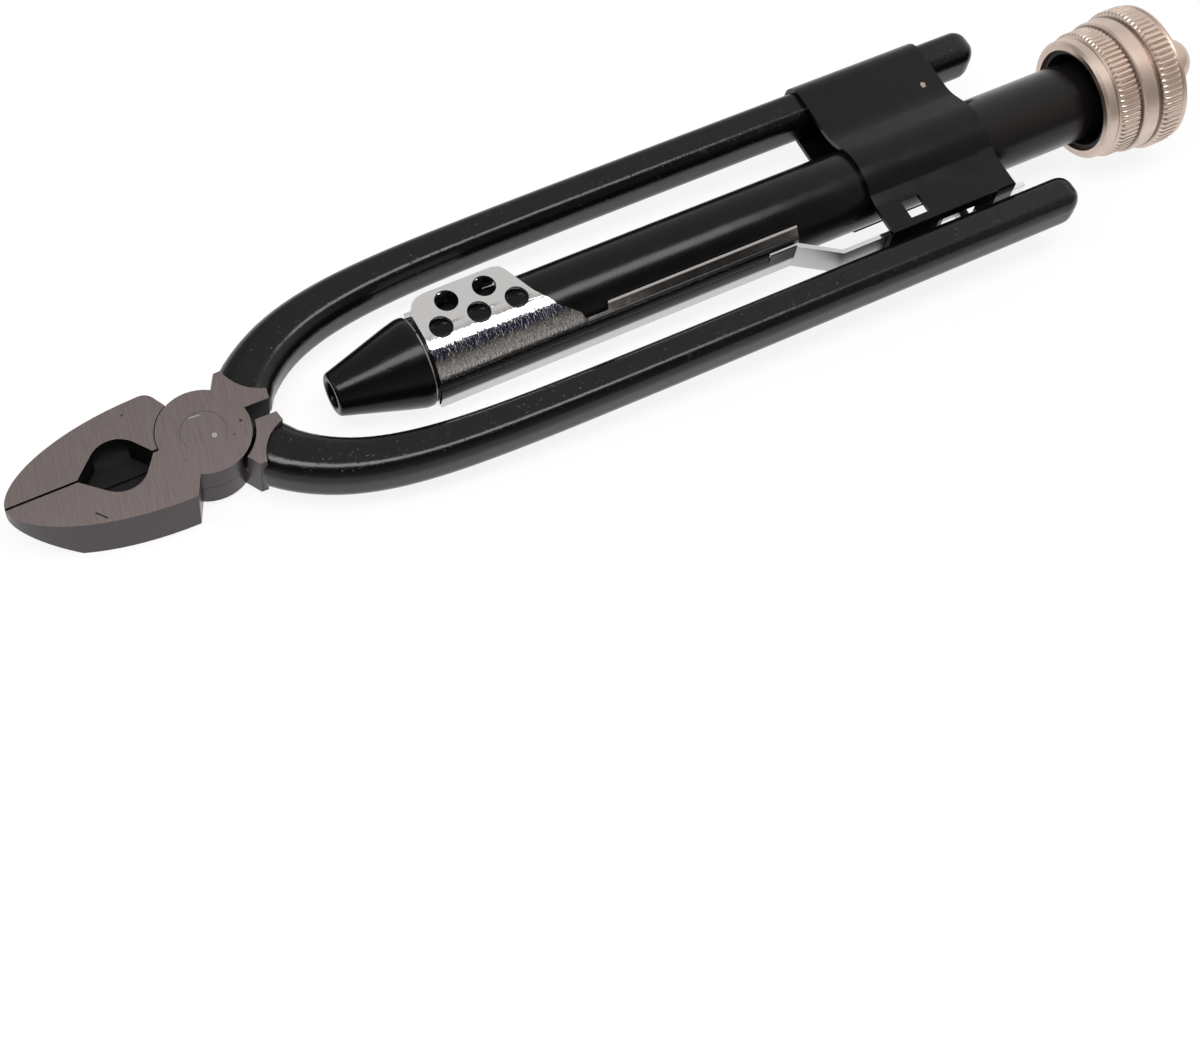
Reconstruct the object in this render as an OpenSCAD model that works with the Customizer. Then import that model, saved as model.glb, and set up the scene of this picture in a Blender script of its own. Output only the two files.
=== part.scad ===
// Safety wire pliers: combination jaws, dipped handles, and a pull-to-twist spindle in a tube.
// Millimetres. X runs from the jaw tip to the knob along the twist axis, and +Z is up.
// Every module below is drawn with the pivot at zero, then moved so the origin is mid-length.

/* [Head] */
// Pivot axis to jaw tip
jaw_len = 33.5; // [31:0.5:38]
// Half width of the closed jaws
jaw_half_w = 10.4; // [9.8:0.1:12]
// Thickness of the ground head
head_t = 9.5; // [9:0.25:11]
// Radius of the half-lap joint disc
joint_r = 7.8; // [7.4:0.1:8.4]
// Diameter of the pivot rivet
rivet_d = 7.6; // [6:0.1:9]
// Gap between the closed gripping faces
jaw_gap = 0.4; // [0.3:0.05:0.8]
// Diameter of the round cutter recess between the jaws
grip_hole_d = 9.6; // [8:0.1:11]
// Pivot axis to the centre of that recess
grip_hole_x = 14.6; // [14:0.1:16]
// Length of the pointed relief ahead of the recess
grip_point = 2.3; // [1.5:0.1:3]
// Depth of the cutter recess below the top face
recess_depth = 6; // [5:0.25:7]
// Rounding of the upper jaw's rear corner
jaw_corner = 1.5; // [0.8:0.1:2]
// Length of the bevel under the jaw tip
tip_bevel_len = 9; // [6:0.5:11]
// Thickness left at the jaw tip
tip_t = 3; // [2:0.25:5]
// Spacing of the serrations on the gripping faces
tooth_pitch = 1.1; // [0.9:0.1:1.6]

/* [Handles] */
// Pivot axis to the rounded handle end
handle_end = 161.7; // [156:0.1:168]
// Twist axis to the handle centre line
handle_spread = 18; // [17:0.1:20]
// Width of a dipped handle
handle_w = 7; // [6:0.1:7.4]
// Height of a dipped handle
handle_h = 8.6; // [7.5:0.1:9]
// Corner radius of a dipped handle
handle_corner = 3; // [1.5:0.1:3.2]
// Extra width at the root of a handle
root_extra = 3; // [2:0.1:3.2]
// Thickness of the dipped coat
coat_t = 0.5; // [0.3:0.05:0.8]

/* [Spindle tube] */
// Outside diameter of the tube
tube_d = 14.6; // [14:0.1:15.2]
// Wall of the tube
tube_wall = 1; // [0.8:0.05:1.2]
// Pivot axis to the front end of the tube
tube_front = 38.6; // [37:0.1:40]
// Pivot axis to the rear end of the tube
tube_rear = 177.5; // [175:0.1:180]
// Length of the nose ahead of the tube
nose_len = 16; // [13:0.1:18]
// Diameter of the nose tip
nose_tip_d = 7.4; // [6.6:0.1:8.4]
// Diameter of the opening in the nose
nose_hole_d = 4.6; // [3.6:0.1:5]
// Height of the stop collar above the tube
collar_h = 0.6; // [0.3:0.05:0.9]

/* [Lock slide] */
// Sheet thickness of the slide
slide_t = 0.8; // [0.6:0.05:1]
// Length of the thumb cover
cover_len = 20.8; // [19:0.1:23]
// Twist axis to the open edge of the flat cover
cover_side = 7.1; // [6.6:0.1:7.3]
// Diameter of the grip holes
grip_d = 4.1; // [3:0.1:4.4]
// Length of the side rail behind the cover
rail_len = 49; // [46:0.5:52]
// Width of the flat tail strip
strip_w = 6; // [5.4:0.1:6.6]
// Travel of the slide
lock_travel = 3; // [2.5:0.1:3.5]

/* [Saddle bracket] */
// Sheet thickness of the bracket
bracket_t = 0.9; // [0.7:0.05:1.1]
// Length of the bracket along the tube
bracket_len = 26.1; // [24:0.1:28]
// Bracket rear edge to the handle end
bracket_setback = 11.5; // [9:0.1:13]
// Side of the square hole in the bracket
square_hole = 3.8; // [3:0.1:4.2]

/* [Lock catch] */
// Height of the hook
catch_w = 2.2; // [1.8:0.1:2.6]
// Thickness of the hook stem
catch_stem = 1.8; // [1.4:0.1:2.2]

/* [Twist drive] */
// Pull travel of the spindle
pull_travel = 80; // [60:1:85]
// Advance of the spindle in one turn
lead = 40; // [32:1:60]
// Width of the twisted bar
bar_w = 8; // [6.5:0.1:8.2]
// Thickness of the twisted bar
bar_t = 3; // [2.4:0.1:3.6]
// Length of the guide bush
bush_len = 13.8; // [10:0.1:16]
// Wire of the return spring
spring_wire = 0.9; // [0.7:0.05:1]
// Turns of the return spring
spring_turns = 17; // [14:1:20]
// Thickness of a spring seat
seat_t = 1.4; // [1:0.1:2]
// Diameter of the stud behind the twisted bar
stud_d = 5; // [4:0.1:5.6]

/* [Knob] */
// Tube rear end to the knob lip, measured forward
knob_overlap = 3.8; // [2.5:0.1:6]
// Outside diameter of the lip
lip_d = 22.6; // [22:0.1:24]
// Length of the lip
lip_len = 2.8; // [2:0.1:4]
// Diameter of the front knurled band
front_band_d = 23.9; // [23.6:0.1:25]
// Length of the front knurled band
front_band_len = 4.5; // [3.5:0.1:6]
// Diameter of the plain waist
waist_d = 25; // [24.4:0.1:25.6]
// Length of the plain waist
waist_len = 4; // [3:0.1:5]
// Diameter of the rear knurled band
rear_band_d = 26.6; // [26:0.1:28]
// Length of the rear knurled band
rear_band_len = 5.5; // [4.5:0.1:7]
// Teeth around each knurled band
knurl_teeth = 60; // [48:2:84]
// Depth of the knurl
knurl_depth = 0.45; // [0.3:0.05:0.6]
// Inside diameter of the knob cup
cup_d = 19.4; // [19:0.1:20]
// Depth of the knob cup
cup_depth = 10.4; // [9:0.1:11.5]
// Wall of the black liner in the cup
liner_t = 0.9; // [0.6:0.05:1.1]
// Diameter of the domed end nut
nut_d = 9.2; // [8.4:0.1:10]
// Length of the domed end nut
nut_len = 7.4; // [6.5:0.1:9]

/* [Hidden] */
$fn = 64;

// Clearances
joint_gap = 0.15;
shoulder_gap = 0.6;
lap_gap = 0.1;
rivet_play = 0.05;
press_gap = 0.02;
coat_gap = 0.06;
slide_play = 0.15;
saddle_gap = 0.05;
run_gap = 0.2;
flange_gap = 0.4;
hook_gap = 0.3;
hook_clear = 0.6;
eps = 0.01;

// Head
half_t = head_t / 2;
shoulder_angle = 62.4;
jaw_rear = jaw_half_w / tan(shoulder_angle);
outline_steps = 22;
outline_power = 0.56;
hole_r = grip_hole_d / 2;
hole_front = grip_hole_x + hole_r + grip_point;
hole_rear_point = 1.2;
serration = 0.5;
serration_drop = 0.8;

// Handle shoulder: two spurs with a hollow between them that the handle grows out of
spur_outer = [joint_r - 0.9, joint_r + 1.5];
spur_outer_rear = [spur_outer[0] - 1.2, spur_outer[1] - 0.05];
spur_inner = [joint_r + 4.6, 3.2];
spur_inner_low = [spur_inner[0] - 0.3, 1.4];
spur_mid = (spur_outer + spur_inner) / 2;
spur_along = (spur_inner - spur_outer) / norm(spur_inner - spur_outer);
spur_ahead = [-spur_along[1], spur_along[0]];
hollow_r = 7.8;
hollow_depth = 1.1;
hollow_at = spur_mid + (hollow_r - hollow_depth) * spur_ahead;

// Handle path: y = spread * (1 - e^((bend_start - x) / bend_len))
bend_start = joint_r - 3.2;
bend_len = 11.2;
root_x = joint_r + 0.2;
root_fade = 15;
coat_x = spur_mid[0] + 1.8;
straight_x = 62;
path_steps = 14;
end_round = 2.5;
end_steps = 4;
corner_steps = 4;

// Tube
tube_r = tube_d / 2;
bore_r = tube_r - tube_wall;
lip_t = 0.6;
lip_r = bar_w / 2 + 1.3;
spigot_len = 7;
collar_len = 1.1;
nose_flare = 3;
collar_r = tube_r + collar_h;

// Slide
slide_in = tube_r + slide_play;
slide_out = slide_in + slide_t;
slide_front = tube_front + 0.4;
cover_rear = slide_front + cover_len;
cover_corner = 3.6;
cover_slant = 4.4;
sleeve_top = 4.6;
rail_top = slide_out * sin(45);
rail_low = slide_out * sin(55.6);
rail_step = cover_rear + 11.4;
rail_end = cover_rear + rail_len;
grip_pitch = cover_len / 2.95;
grip_lead = cover_len / 5.95;
grip_side_lead = cover_len / 3.18;
grip_side_y = cover_side - 2.9;

// Bracket, worked out from the handle, the tube and the gap that the slide's tail needs
bracket_rear = handle_end - bracket_setback;
bracket_front = bracket_rear - bracket_len;
wrap_w = handle_w + 2 * saddle_gap;
wrap_h = handle_h + 2 * saddle_gap;
wrap_corner = handle_corner + saddle_gap;
flat_in = wrap_h / 2;
flat_out = flat_in + bracket_t;
saddle_in = tube_r + saddle_gap;
saddle_out = saddle_in + bracket_t;
saddle_angle = 25;
saddle_front_angle = 45;
saddle_under_angle = 40;
slope_end = 8.2;
slope_lean = 0.4;
seam = 0.05;
seam_angle = 1;
handle_in = handle_spread - handle_w / 2;
flange_out = handle_in - flange_gap;
flange_in = flange_out - bracket_t;
flange_low = -5.5;
bend_in = 0.6;
window_top = 3;
window_front = bracket_front + 10.2;
flange_rear = bracket_rear - 3.7;
square_hole_front = bracket_front + 4.7;

// Tail strip and catch
strip_out = flange_in - run_gap;
strip_in = strip_out - slide_t;
jog_len = 7;
strip_end = bracket_rear + 1.6;
tail_end = strip_end + 2.6;
tail_w = 2.2;
strip_shows = 2.2;
strip_notch_front = window_front + strip_shows;
catch_front = strip_notch_front + hook_clear;
catch_nose = lock_travel + hook_clear;
catch_rear = catch_front + catch_nose + catch_stem;
catch_t = 2;
catch_out = strip_in - hook_gap;
catch_in = catch_out - catch_t;
strip_notch_rear = catch_rear + 4.3;
strip_rail = 1.4;
catch_low = -2.7;
window_rear = catch_rear + hook_clear;

// Twist drive, stacked forward from the rear end of the tube
bush_rear = tube_rear - lip_t - press_gap;
bush_front = bush_rear - bush_len;
rear_seat_front = bush_front - seat_t - press_gap;
front_seat_rear = rear_seat_front - pull_travel - spring_turns * spring_wire - 10;
front_seat_front = front_seat_rear - seat_t;
seat_r = bore_r - run_gap;
bar_front = front_seat_rear + run_gap;
spindle_d = 4;
end_nut_len = 3.6;
end_nut_d = 9;
spring_r = bore_r - run_gap - spring_wire / 2 - 0.35;
bar_rings_per_turn = 24;
bar_edge = 0.6;
flat_parts = 4;
spring_rings = 10;
spring_sides = 6;

// Knob
knob_front = tube_rear - knob_overlap;
lip_end = knob_front + lip_len;
front_band_end = lip_end + front_band_len;
waist_end = front_band_end + waist_len;
knob_rear = waist_end + rear_band_len;
crown = 3;
crown_r = rear_band_d / 2 - 0.9;
crown_sphere = (crown_r * crown_r + crown * crown) / (2 * crown);
crown_steps = 10;
cup_floor = knob_front + cup_depth;
liner_front = knob_front + 0.7;
liner_r = cup_d / 2 - press_gap;
liner_floor = cup_floor - liner_t;
bar_collar_len = 2;
bar_rear = liner_floor - bar_collar_len;
nut_seat_r = nut_d / 2 + 0.8;
nut_front = knob_rear + crown - 0.6;
nut_end = nut_front + nut_len;
stud_end = nut_end - 2.4;

// Origin: half way between the jaw tip and the end of the nut, on the twist axis
mid_x = (nut_end - jaw_len) / 2;

// Height of the jaw outline above the parting line, u running from the rear corner to the tip
function jaw_y(u) = jaw_half_w * pow(1 - u * u, outline_power);
function jaw_x(u) = -jaw_rear - u * (jaw_len - jaw_rear);
// Handle centre line, its direction, and the width of the dipped handle there
function path_y(x) = handle_spread * (1 - exp((bend_start - x) / bend_len));
function path_angle(x) = atan(handle_spread / bend_len * exp((bend_start - x) / bend_len));
function path_w(x) = handle_w + root_extra * exp((root_x - x) / root_fade);
// Rounded rectangle as a ring of points
function rounded(w, h, r) = [
    for (c = [0:3], k = [0:corner_steps])
        let (a = 90 * c + 90 * k / corner_steps)
        [(c == 0 || c == 3 ? 1 : -1) * (w / 2 - r) + r * cos(a), (c < 2 ? 1 : -1) * (h / 2 - r) + r * sin(a)]
];
// One ring of the handle, drawn in from the dipped surface by inset
function handle_ring(x, inset) =
    let (a = path_angle(x))
    let (w = path_w(x) - 2 * inset, h = handle_h - 2 * inset, r = max(handle_corner - inset, 0.4))
    [for (p = rounded(w, h, r)) [x - p[0] * sin(a), path_y(x) + p[0] * cos(a), p[1]]];
// Rings from the first station on: the bend in even steps, then the rounded end
function handle_rings(inset) = [
    for (i = [0:path_steps]) handle_ring(coat_x + (straight_x - coat_x) * i / path_steps, inset),
    for (k = [0:end_steps])
        let (a = 90 * k / end_steps)
        handle_ring(handle_end - inset - end_round * (1 - sin(a)), inset + end_round * (1 - cos(a)))
];
// First ring of the coat, which follows the hollow between the spurs
function hollow_ring(inset) =
    let (w = path_w(root_x) - 2 * inset, h = handle_h - 2 * inset, r = handle_corner - inset)
    [for (p = rounded(w, h, r))
        let (ahead = hollow_r - hollow_depth + press_gap - sqrt(hollow_r * hollow_r - p[0] * p[0]))
        let (at = spur_mid - p[0] * spur_along + ahead * spur_ahead)
        [at[0], at[1], p[1]]];
// Triangles between rings of n points, and the reverse for an inner wall
function side_faces(first, count, n) = [
    for (i = [0:count - 2], j = [0:n - 1])
        let (a = first + i * n + j, b = first + i * n + (j + 1) % n)
        each [[a, a + n, b + n], [a, b + n, b]]
];
function turned_over(faces) = [for (f = faces) [for (k = [len(f) - 1:-1:0]) f[k]]];

// Solid through a list of rings with the same number of points
module skin(rings) {
    n = len(rings[0]);
    count = len(rings);
    front = [for (j = [0:n - 1]) j];
    back = [for (j = [n - 1:-1:0]) (count - 1) * n + j];
    polyhedron(points = [for (r = rings) each r], faces = concat(side_faces(0, count, n), [front, back]));
}

// Cup between two lists of rings, open at the first ring
module cup(outer, inner) {
    n = len(outer[0]);
    count = len(outer);
    under = count * n;
    cap = [for (j = [n - 1:-1:0]) (count - 1) * n + j];
    under_cap = [for (j = [0:n - 1]) under + (count - 1) * n + j];
    rim = [for (j = [0:n - 1]) let (k = (j + 1) % n) each [[j, k, under + k], [j, under + k, under + j]]];
    polyhedron(
        points = [for (r = concat(outer, inner)) each r],
        faces = concat(side_faces(0, count, n), turned_over(side_faces(under, count, n)), rim, [cap, under_cap])
    );
}

// Turns a profile drawn as [radius, x] round the twist axis
module turned(profile) {
    rotate([0, 90, 0]) rotate_extrude() polygon(profile);
}

module rod(x0, x1, r) {
    translate([x0, 0, 0]) rotate([0, 90, 0]) cylinder(r = r, h = x1 - x0);
}

// Head outline pieces, seen from above
module jaw_outline(corner) {
    rear_edge = corner * [cos(shoulder_angle), -sin(shoulder_angle)];
    edge = [for (i = [0:outline_steps]) let (u = 1 - pow(1 - i / outline_steps, 2) * 0.999) [u, i]];
    mirror([0, 1]) polygon(concat(
        [[0, jaw_gap / 2]],
        [for (k = [0:corner_steps]) let (f = pow(1 - k / corner_steps, 2), g = pow(k / corner_steps, 2))
            [-jaw_rear - g * corner, jaw_half_w] + f * rear_edge],
        [for (e = edge) if (e[1] > 0 && jaw_x(e[0]) < -jaw_rear - corner && jaw_y(e[0]) > jaw_gap / 2)
            [jaw_x(e[0]), jaw_y(e[0])]],
        [[-jaw_len, jaw_gap / 2]]
    ));
}

module shoulder_outline() {
    difference() {
        polygon([
            [0, 0], [joint_r / 2, spur_inner_low[1]], spur_inner_low, spur_inner, spur_outer, spur_outer_rear
        ]);
        translate(hollow_at) circle(r = hollow_r);
    }
}

// The pointed round recess that both jaws share
module grip_hole_outline() {
    front_reach = hole_front - grip_hole_x;
    rear_reach = hole_r + hole_rear_point;
    front_a = acos(hole_r / front_reach);
    rear_a = acos(hole_r / rear_reach);
    translate([-grip_hole_x, 0]) {
        circle(r = hole_r);
        polygon([
            [-front_reach, 0], hole_r * [-cos(front_a), sin(front_a)], hole_r * [cos(rear_a), sin(rear_a)],
            [rear_reach, 0], hole_r * [cos(rear_a), -sin(rear_a)], hole_r * [-cos(front_a), -sin(front_a)]
        ]);
    }
}

// Cross serrations on the gripping face of the lower (-1) or upper (1) jaw, below its top edge
module serrations(side) {
    for (x = [-jaw_len + 2 : tooth_pitch : -hole_front - tooth_pitch / 2])
        translate([x, side * jaw_gap / 2, -half_t - serration_drop]) rotate(45)
            cube([serration, serration, 2 * head_t], center = true);
}

// Forged lever: full-depth jaw and shoulder, half-depth disc above the lap
module lever(bore_gap, corner) {
    difference() {
        union() {
            translate([0, 0, lap_gap / 2]) linear_extrude(half_t - lap_gap / 2) {
                jaw_outline(corner);
                circle(r = joint_r);
                shoulder_outline();
            }
            translate([0, 0, -half_t]) linear_extrude(half_t + lap_gap) {
                difference() {
                    jaw_outline(corner);
                    circle(r = joint_r + joint_gap);
                }
                difference() {
                    shoulder_outline();
                    circle(r = joint_r + shoulder_gap);
                }
            }
            skin(concat([handle_ring(root_x, coat_t)], handle_rings(coat_t)));
        }
        cylinder(d = rivet_d + 2 * bore_gap, h = 2 * head_t, center = true);
    }
}

// Bevel that thins the underside of both jaw tips
module tip_bevel() {
    low = -half_t - 1;
    rise = head_t - tip_t;
    rotate([90, 0, 0]) linear_extrude(4 * jaw_half_w, center = true) polygon([
        [tip_bevel_len - jaw_len, -half_t], [-jaw_len, rise - half_t], [-jaw_len - 2, rise - half_t],
        [-jaw_len - 2, low], [tip_bevel_len - jaw_len, low]
    ]);
}

// Recess sunk from the top face, whose floor the two cutter edges part
module cutter_recess() {
    translate([0, 0, half_t - recess_depth]) linear_extrude(head_t) grip_hole_outline();
}

module lower_jaw_lever() {
    color("dimgray") at_origin() difference() {
        lever(press_gap, seam);
        serrations(-1);
        tip_bevel();
        cutter_recess();
    }
}

module upper_jaw_lever() {
    color("gray") at_origin() difference() {
        rotate([180, 0, 0]) lever(rivet_play, jaw_corner);
        serrations(1);
        tip_bevel();
        cutter_recess();
        catch_foot(press_gap);
    }
}

// Dipped coat: a shell on the handle that starts in the hollow between the spurs
module coat() {
    inner = coat_t - coat_gap;
    cup(concat([hollow_ring(0)], handle_rings(0)), concat([hollow_ring(inner)], handle_rings(inner)));
}

module upper_handle_coat() {
    color("black") at_origin() coat();
}

module lower_handle_coat() {
    color("black") at_origin() difference() {
        rotate([180, 0, 0]) coat();
        catch_foot(press_gap);
    }
}

module pivot_rivet() {
    color("darkgray") at_origin() cylinder(d = rivet_d, h = head_t, center = true);
}

// Section of the bracket seen along the tube: [y, z]
module ring_sector(r_in, r_out, a0, a1) {
    mid = (a0 + a1) / 2;
    half = (a1 - a0) / 2;
    reach = 2 * r_out;
    intersection() {
        difference() {
            circle(r = r_out);
            circle(r = r_in);
        }
        polygon([
            [0, 0], reach * [sin(mid - half), cos(mid - half)], reach * [sin(mid), cos(mid)],
            reach * [sin(mid + half), cos(mid + half)]
        ]);
    }
}

// Half of a rounded rectangle: the outer half, away from the tube
module outer_half(w, h, r) {
    intersection() {
        union() {
            for (s = [-1, 1])
                translate([w / 2 - r, s * (h / 2 - r)]) circle(r = r);
            translate([0, r - h / 2]) square([w / 2, h - 2 * r]);
            translate([0, -h / 2]) square([w / 2 - r, h]);
        }
        translate([0, -h]) square([w, 2 * h]);
    }
}

// Straight part of the saddle between the tube and the handle, above (1) or below (-1)
module saddle_slope(side) {
    tip_in = saddle_in * [sin(saddle_angle), cos(saddle_angle)];
    tip_out = saddle_out * [sin(saddle_angle), cos(saddle_angle)];
    mirror([0, side < 0 ? 1 : 0]) {
        polygon([tip_in, tip_out, [slope_end, flat_out], [slope_end - slope_lean, flat_in]]);
    }
}

module saddle_flat(side) {
    start = slope_end - slope_lean;
    mirror([0, side < 0 ? 1 : 0]) translate([start, flat_in]) square([handle_spread + seam - start, bracket_t]);
}

module along_bracket() {
    translate([bracket_front, 0, 0]) rotate([90, 0, 90]) linear_extrude(bracket_len) children();
}

// Each stretch of the bent sheet, drawn along the tube by itself and then joined
module bracket_sheet() {
    edge = [-sin(saddle_front_angle), cos(saddle_front_angle)];
    along_bracket() translate([handle_spread, 0]) difference() {
        outer_half(wrap_w + 2 * bracket_t, wrap_h + 2 * bracket_t, wrap_corner + bracket_t);
        translate([-eps, 0]) outer_half(wrap_w + 2 * eps, wrap_h, wrap_corner);
    }
    for (side = [1, -1])
        along_bracket() saddle_slope(side);
    for (side = [1, -1])
        along_bracket() saddle_flat(side);
    along_bracket() ring_sector(saddle_in, saddle_out, -saddle_front_angle - seam_angle, saddle_angle + seam_angle);
    along_bracket() mirror([0, 1])
        ring_sector(saddle_in, saddle_out, -saddle_under_angle, saddle_angle + seam_angle);
    along_bracket()
        polygon([saddle_in * edge, saddle_out * edge, [-saddle_out, flat_out], [-saddle_out, flat_in]]);
    along_bracket() translate([bend_in - flange_in - seam, flat_in])
        square([flange_in - bend_in - saddle_out + 2 * seam, bracket_t]);
    along_bracket() translate([bend_in - flange_in, flat_in - bend_in])
        ring_sector(bend_in, bend_in + bracket_t, -90, 0);
    along_bracket() translate([-flange_out, flange_low])
        square([bracket_t, flat_in - bend_in - flange_low + seam]);
}

module saddle_bracket() {
    hole_y = (flange_in + saddle_out) / 2;
    color("black") at_origin() difference() {
        bracket_sheet();
        translate([square_hole_front, -hole_y - square_hole / 2, flat_in - 1])
            cube([square_hole, square_hole, bracket_t + 2]);
        translate([window_front, -flange_out - 1, flange_low - 1])
            cube([window_rear - window_front, bracket_t + 2, window_top - flange_low + 1]);
        translate([flange_rear, -flange_out - 1, flange_low - 1])
            cube([bracket_len, flange_out + 1 - flange_in + bend_in, flat_in + 2 - flange_low]);
    }
}

module spindle_tube() {
    color("black") at_origin() turned([
        [bore_r, tube_front], [tube_r, tube_front], [tube_r, tube_rear - 0.4], [tube_r - 0.4, tube_rear],
        [lip_r, tube_rear], [lip_r, tube_rear - lip_t], [bore_r, tube_rear - lip_t]
    ]);
}

module nose_cone() {
    tip = tube_front - nose_len;
    tip_r = nose_tip_d / 2;
    opening_r = nose_hole_d / 2;
    spigot_r = bore_r - press_gap;
    cone_end = tube_front - press_gap - collar_len;
    color("black") at_origin() turned([
        [opening_r, tip], [tip_r - 0.7, tip], [tip_r - 0.2, tip + 0.2], [tip_r, tip + 0.7],
        [tube_r - 0.1, cone_end - nose_flare], [collar_r - 0.15, cone_end - 0.4],
        [collar_r, cone_end], [collar_r, tube_front - press_gap],
        [spigot_r, tube_front - press_gap], [spigot_r, tube_front + spigot_len],
        [spigot_r - 1, tube_front + spigot_len], [spigot_r - 1, cone_end], [opening_r, tip + 3]
    ]);
}

// Bar section with bevelled corners, its wide flats split so that they twist smoothly
function bar_outline(w, t) = [
    for (s = [1, -1]) each concat(
        [for (k = [0:flat_parts]) s * [(w - bar_edge) * (1 - 2 * k / flat_parts), t]],
        [s * [-w, t - bar_edge], s * [-w, bar_edge - t]]
    )
];

// One ring of the twisted bar, grown by a gap and turned by the thread at x
function bar_ring(x, gap) =
    let (a = 360 * x / lead)
    [for (p = bar_outline(bar_w / 2 + gap, bar_t / 2 + gap))
        [x, p[0] * cos(a) - p[1] * sin(a), p[0] * sin(a) + p[1] * cos(a)]];

// Twisted bar from x0 to x1, in step with the thread at any x
module twisted_bar(x0, x1, gap) {
    steps = ceil(bar_rings_per_turn * (x1 - x0) / lead);
    skin([for (i = [0:steps]) bar_ring(x0 + (x1 - x0) * i / steps, gap)]);
}

module guide_bush() {
    color("goldenrod") at_origin() difference() {
        rod(bush_front, bush_rear, bore_r - press_gap);
        twisted_bar(bush_front - 1, bush_rear + 1, run_gap);
    }
}

module twist_rod() {
    color("silver") at_origin() {
        rod(front_seat_front - end_nut_len, bar_front + 1, spindle_d / 2);
        twisted_bar(bar_front, bar_rear + 1, 0);
        rod(bar_rear, bar_rear + bar_collar_len - press_gap, bar_w / 2 + 0.4);
        rod(bar_rear + 1, stud_end, stud_d / 2);
    }
}

// Closely wound round wire, with its ends laid against the two seats
module return_spring() {
    x0 = front_seat_rear + spring_wire / 2 + 0.05;
    x1 = rear_seat_front - spring_wire / 2 - 0.05;
    last = spring_turns * spring_rings;
    wire = spring_wire / 2;
    color("lightgray") at_origin() skin([
        for (i = [0:last]) let (a = 360 * i / spring_rings, x = x0 + (x1 - x0) * i / last)
            [for (k = [0:spring_sides - 1]) let (b = 360 * k / spring_sides, r = spring_r + wire * cos(b))
                [x - wire * sin(b), r * cos(a), r * sin(a)]]
    ]);
}

module front_spring_seat() {
    color("silver") at_origin() difference() {
        rod(front_seat_front, front_seat_rear, seat_r);
        rod(front_seat_front - 1, front_seat_rear + 1, spindle_d / 2 + rivet_play);
    }
}

module rear_spring_seat() {
    color("silver") at_origin() difference() {
        rod(rear_seat_front, rear_seat_front + seat_t, bore_r - press_gap);
        rod(rear_seat_front - 1, rear_seat_front + seat_t + 1, bar_w / 2 + run_gap);
    }
}

module rod_end_nut() {
    nut_rear = front_seat_front - rivet_play;
    color("silver") at_origin() difference() {
        translate([nut_rear - end_nut_len, 0, 0]) rotate([0, 90, 0])
            cylinder(d = end_nut_d, h = end_nut_len, $fn = 6);
        rod(nut_rear - end_nut_len - 1, nut_rear + 1, spindle_d / 2 + press_gap);
    }
}

// Straight knurl: a ring of pointed teeth along the axis
module knurled(x0, x1, d) {
    translate([x0, 0, 0]) rotate([0, 90, 0]) linear_extrude(x1 - x0) polygon([
        for (i = [0:2 * knurl_teeth - 1]) let (a = 180 * i / knurl_teeth, r = d / 2 - (i % 2) * knurl_depth)
            [r * cos(a), r * sin(a)]
    ]);
}

module knob() {
    rim_r = lip_d / 2;
    waist_r = waist_d / 2;
    front_r = front_band_d / 2 - knurl_depth - 0.1;
    rear_r = rear_band_d / 2 - knurl_depth - 0.1;
    crown_edge = acos((crown_sphere - crown) / crown_sphere);
    color("tan") at_origin() difference() {
        union() {
            turned(concat(
                [
                    [0, knob_front], [rim_r - 0.5, knob_front], [rim_r, knob_front + 0.5], [rim_r, lip_end],
                    [front_r, lip_end], [front_r, front_band_end], [waist_r - 0.5, front_band_end],
                    [waist_r, front_band_end + 0.5], [waist_r, waist_end - 0.5], [waist_r - 0.5, waist_end],
                    [rear_r, waist_end], [rear_r, knob_rear]
                ],
                [for (k = [0:crown_steps]) let (a = crown_edge * (1 - k / crown_steps))
                    [crown_sphere * sin(a), knob_rear + crown - crown_sphere * (1 - cos(a))]]
            ));
            knurled(lip_end, front_band_end, front_band_d);
            knurled(waist_end, knob_rear, rear_band_d);
        }
        rod(knob_front - 1, cup_floor, cup_d / 2);
        rod(cup_floor - 1, knob_rear + crown + 1, stud_d / 2 + rivet_play);
        rod(nut_front - press_gap, knob_rear + crown + 1, nut_seat_r);
    }
}

module knob_liner() {
    color("black") at_origin() difference() {
        rod(liner_front, cup_floor - press_gap, liner_r);
        rod(liner_front - 1, liner_floor, liner_r - liner_t);
        rod(liner_front, cup_floor + 1, stud_d / 2 + rivet_play);
    }
}

module dome_nut() {
    r = nut_d / 2;
    base = nut_end - r;
    color("tan") at_origin() difference() {
        union() {
            rod(nut_front, base, r);
            translate([base, 0, 0]) sphere(r = r);
        }
        rod(nut_front - r, stud_end + 0.1, stud_d / 2 + press_gap);
        rod(nut_front - 2 * r, nut_front, 2 * r);
    }
}

// Plan of the slide: flat cover with a round front corner, slanted rear edge, then the side rail
module slide_plan() {
    corner = [for (k = [0:corner_steps]) let (a = 90 * k / corner_steps) cover_corner * [1 - cos(a), sin(a) - 1]];
    polygon(concat(
        [[slide_front, -2 * slide_out]],
        [for (c = corner) [slide_front, cover_side] + c],
        [
            [cover_rear - cover_slant, cover_side], [cover_rear - 3.1, cover_side - 0.5], [cover_rear - 2.4, cover_side - 1.5],
            [cover_rear, 0], [cover_rear + 3, -slide_out * sin(28.6)], [cover_rear + 6.3, -slide_out * sin(46.5)],
            [cover_rear + 6.8, -rail_low], [rail_step - 0.3, -rail_low], [rail_step, -rail_top],
            [rail_end, -rail_top], [rail_end, -2 * slide_out]
        ]
    ));
}

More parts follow.
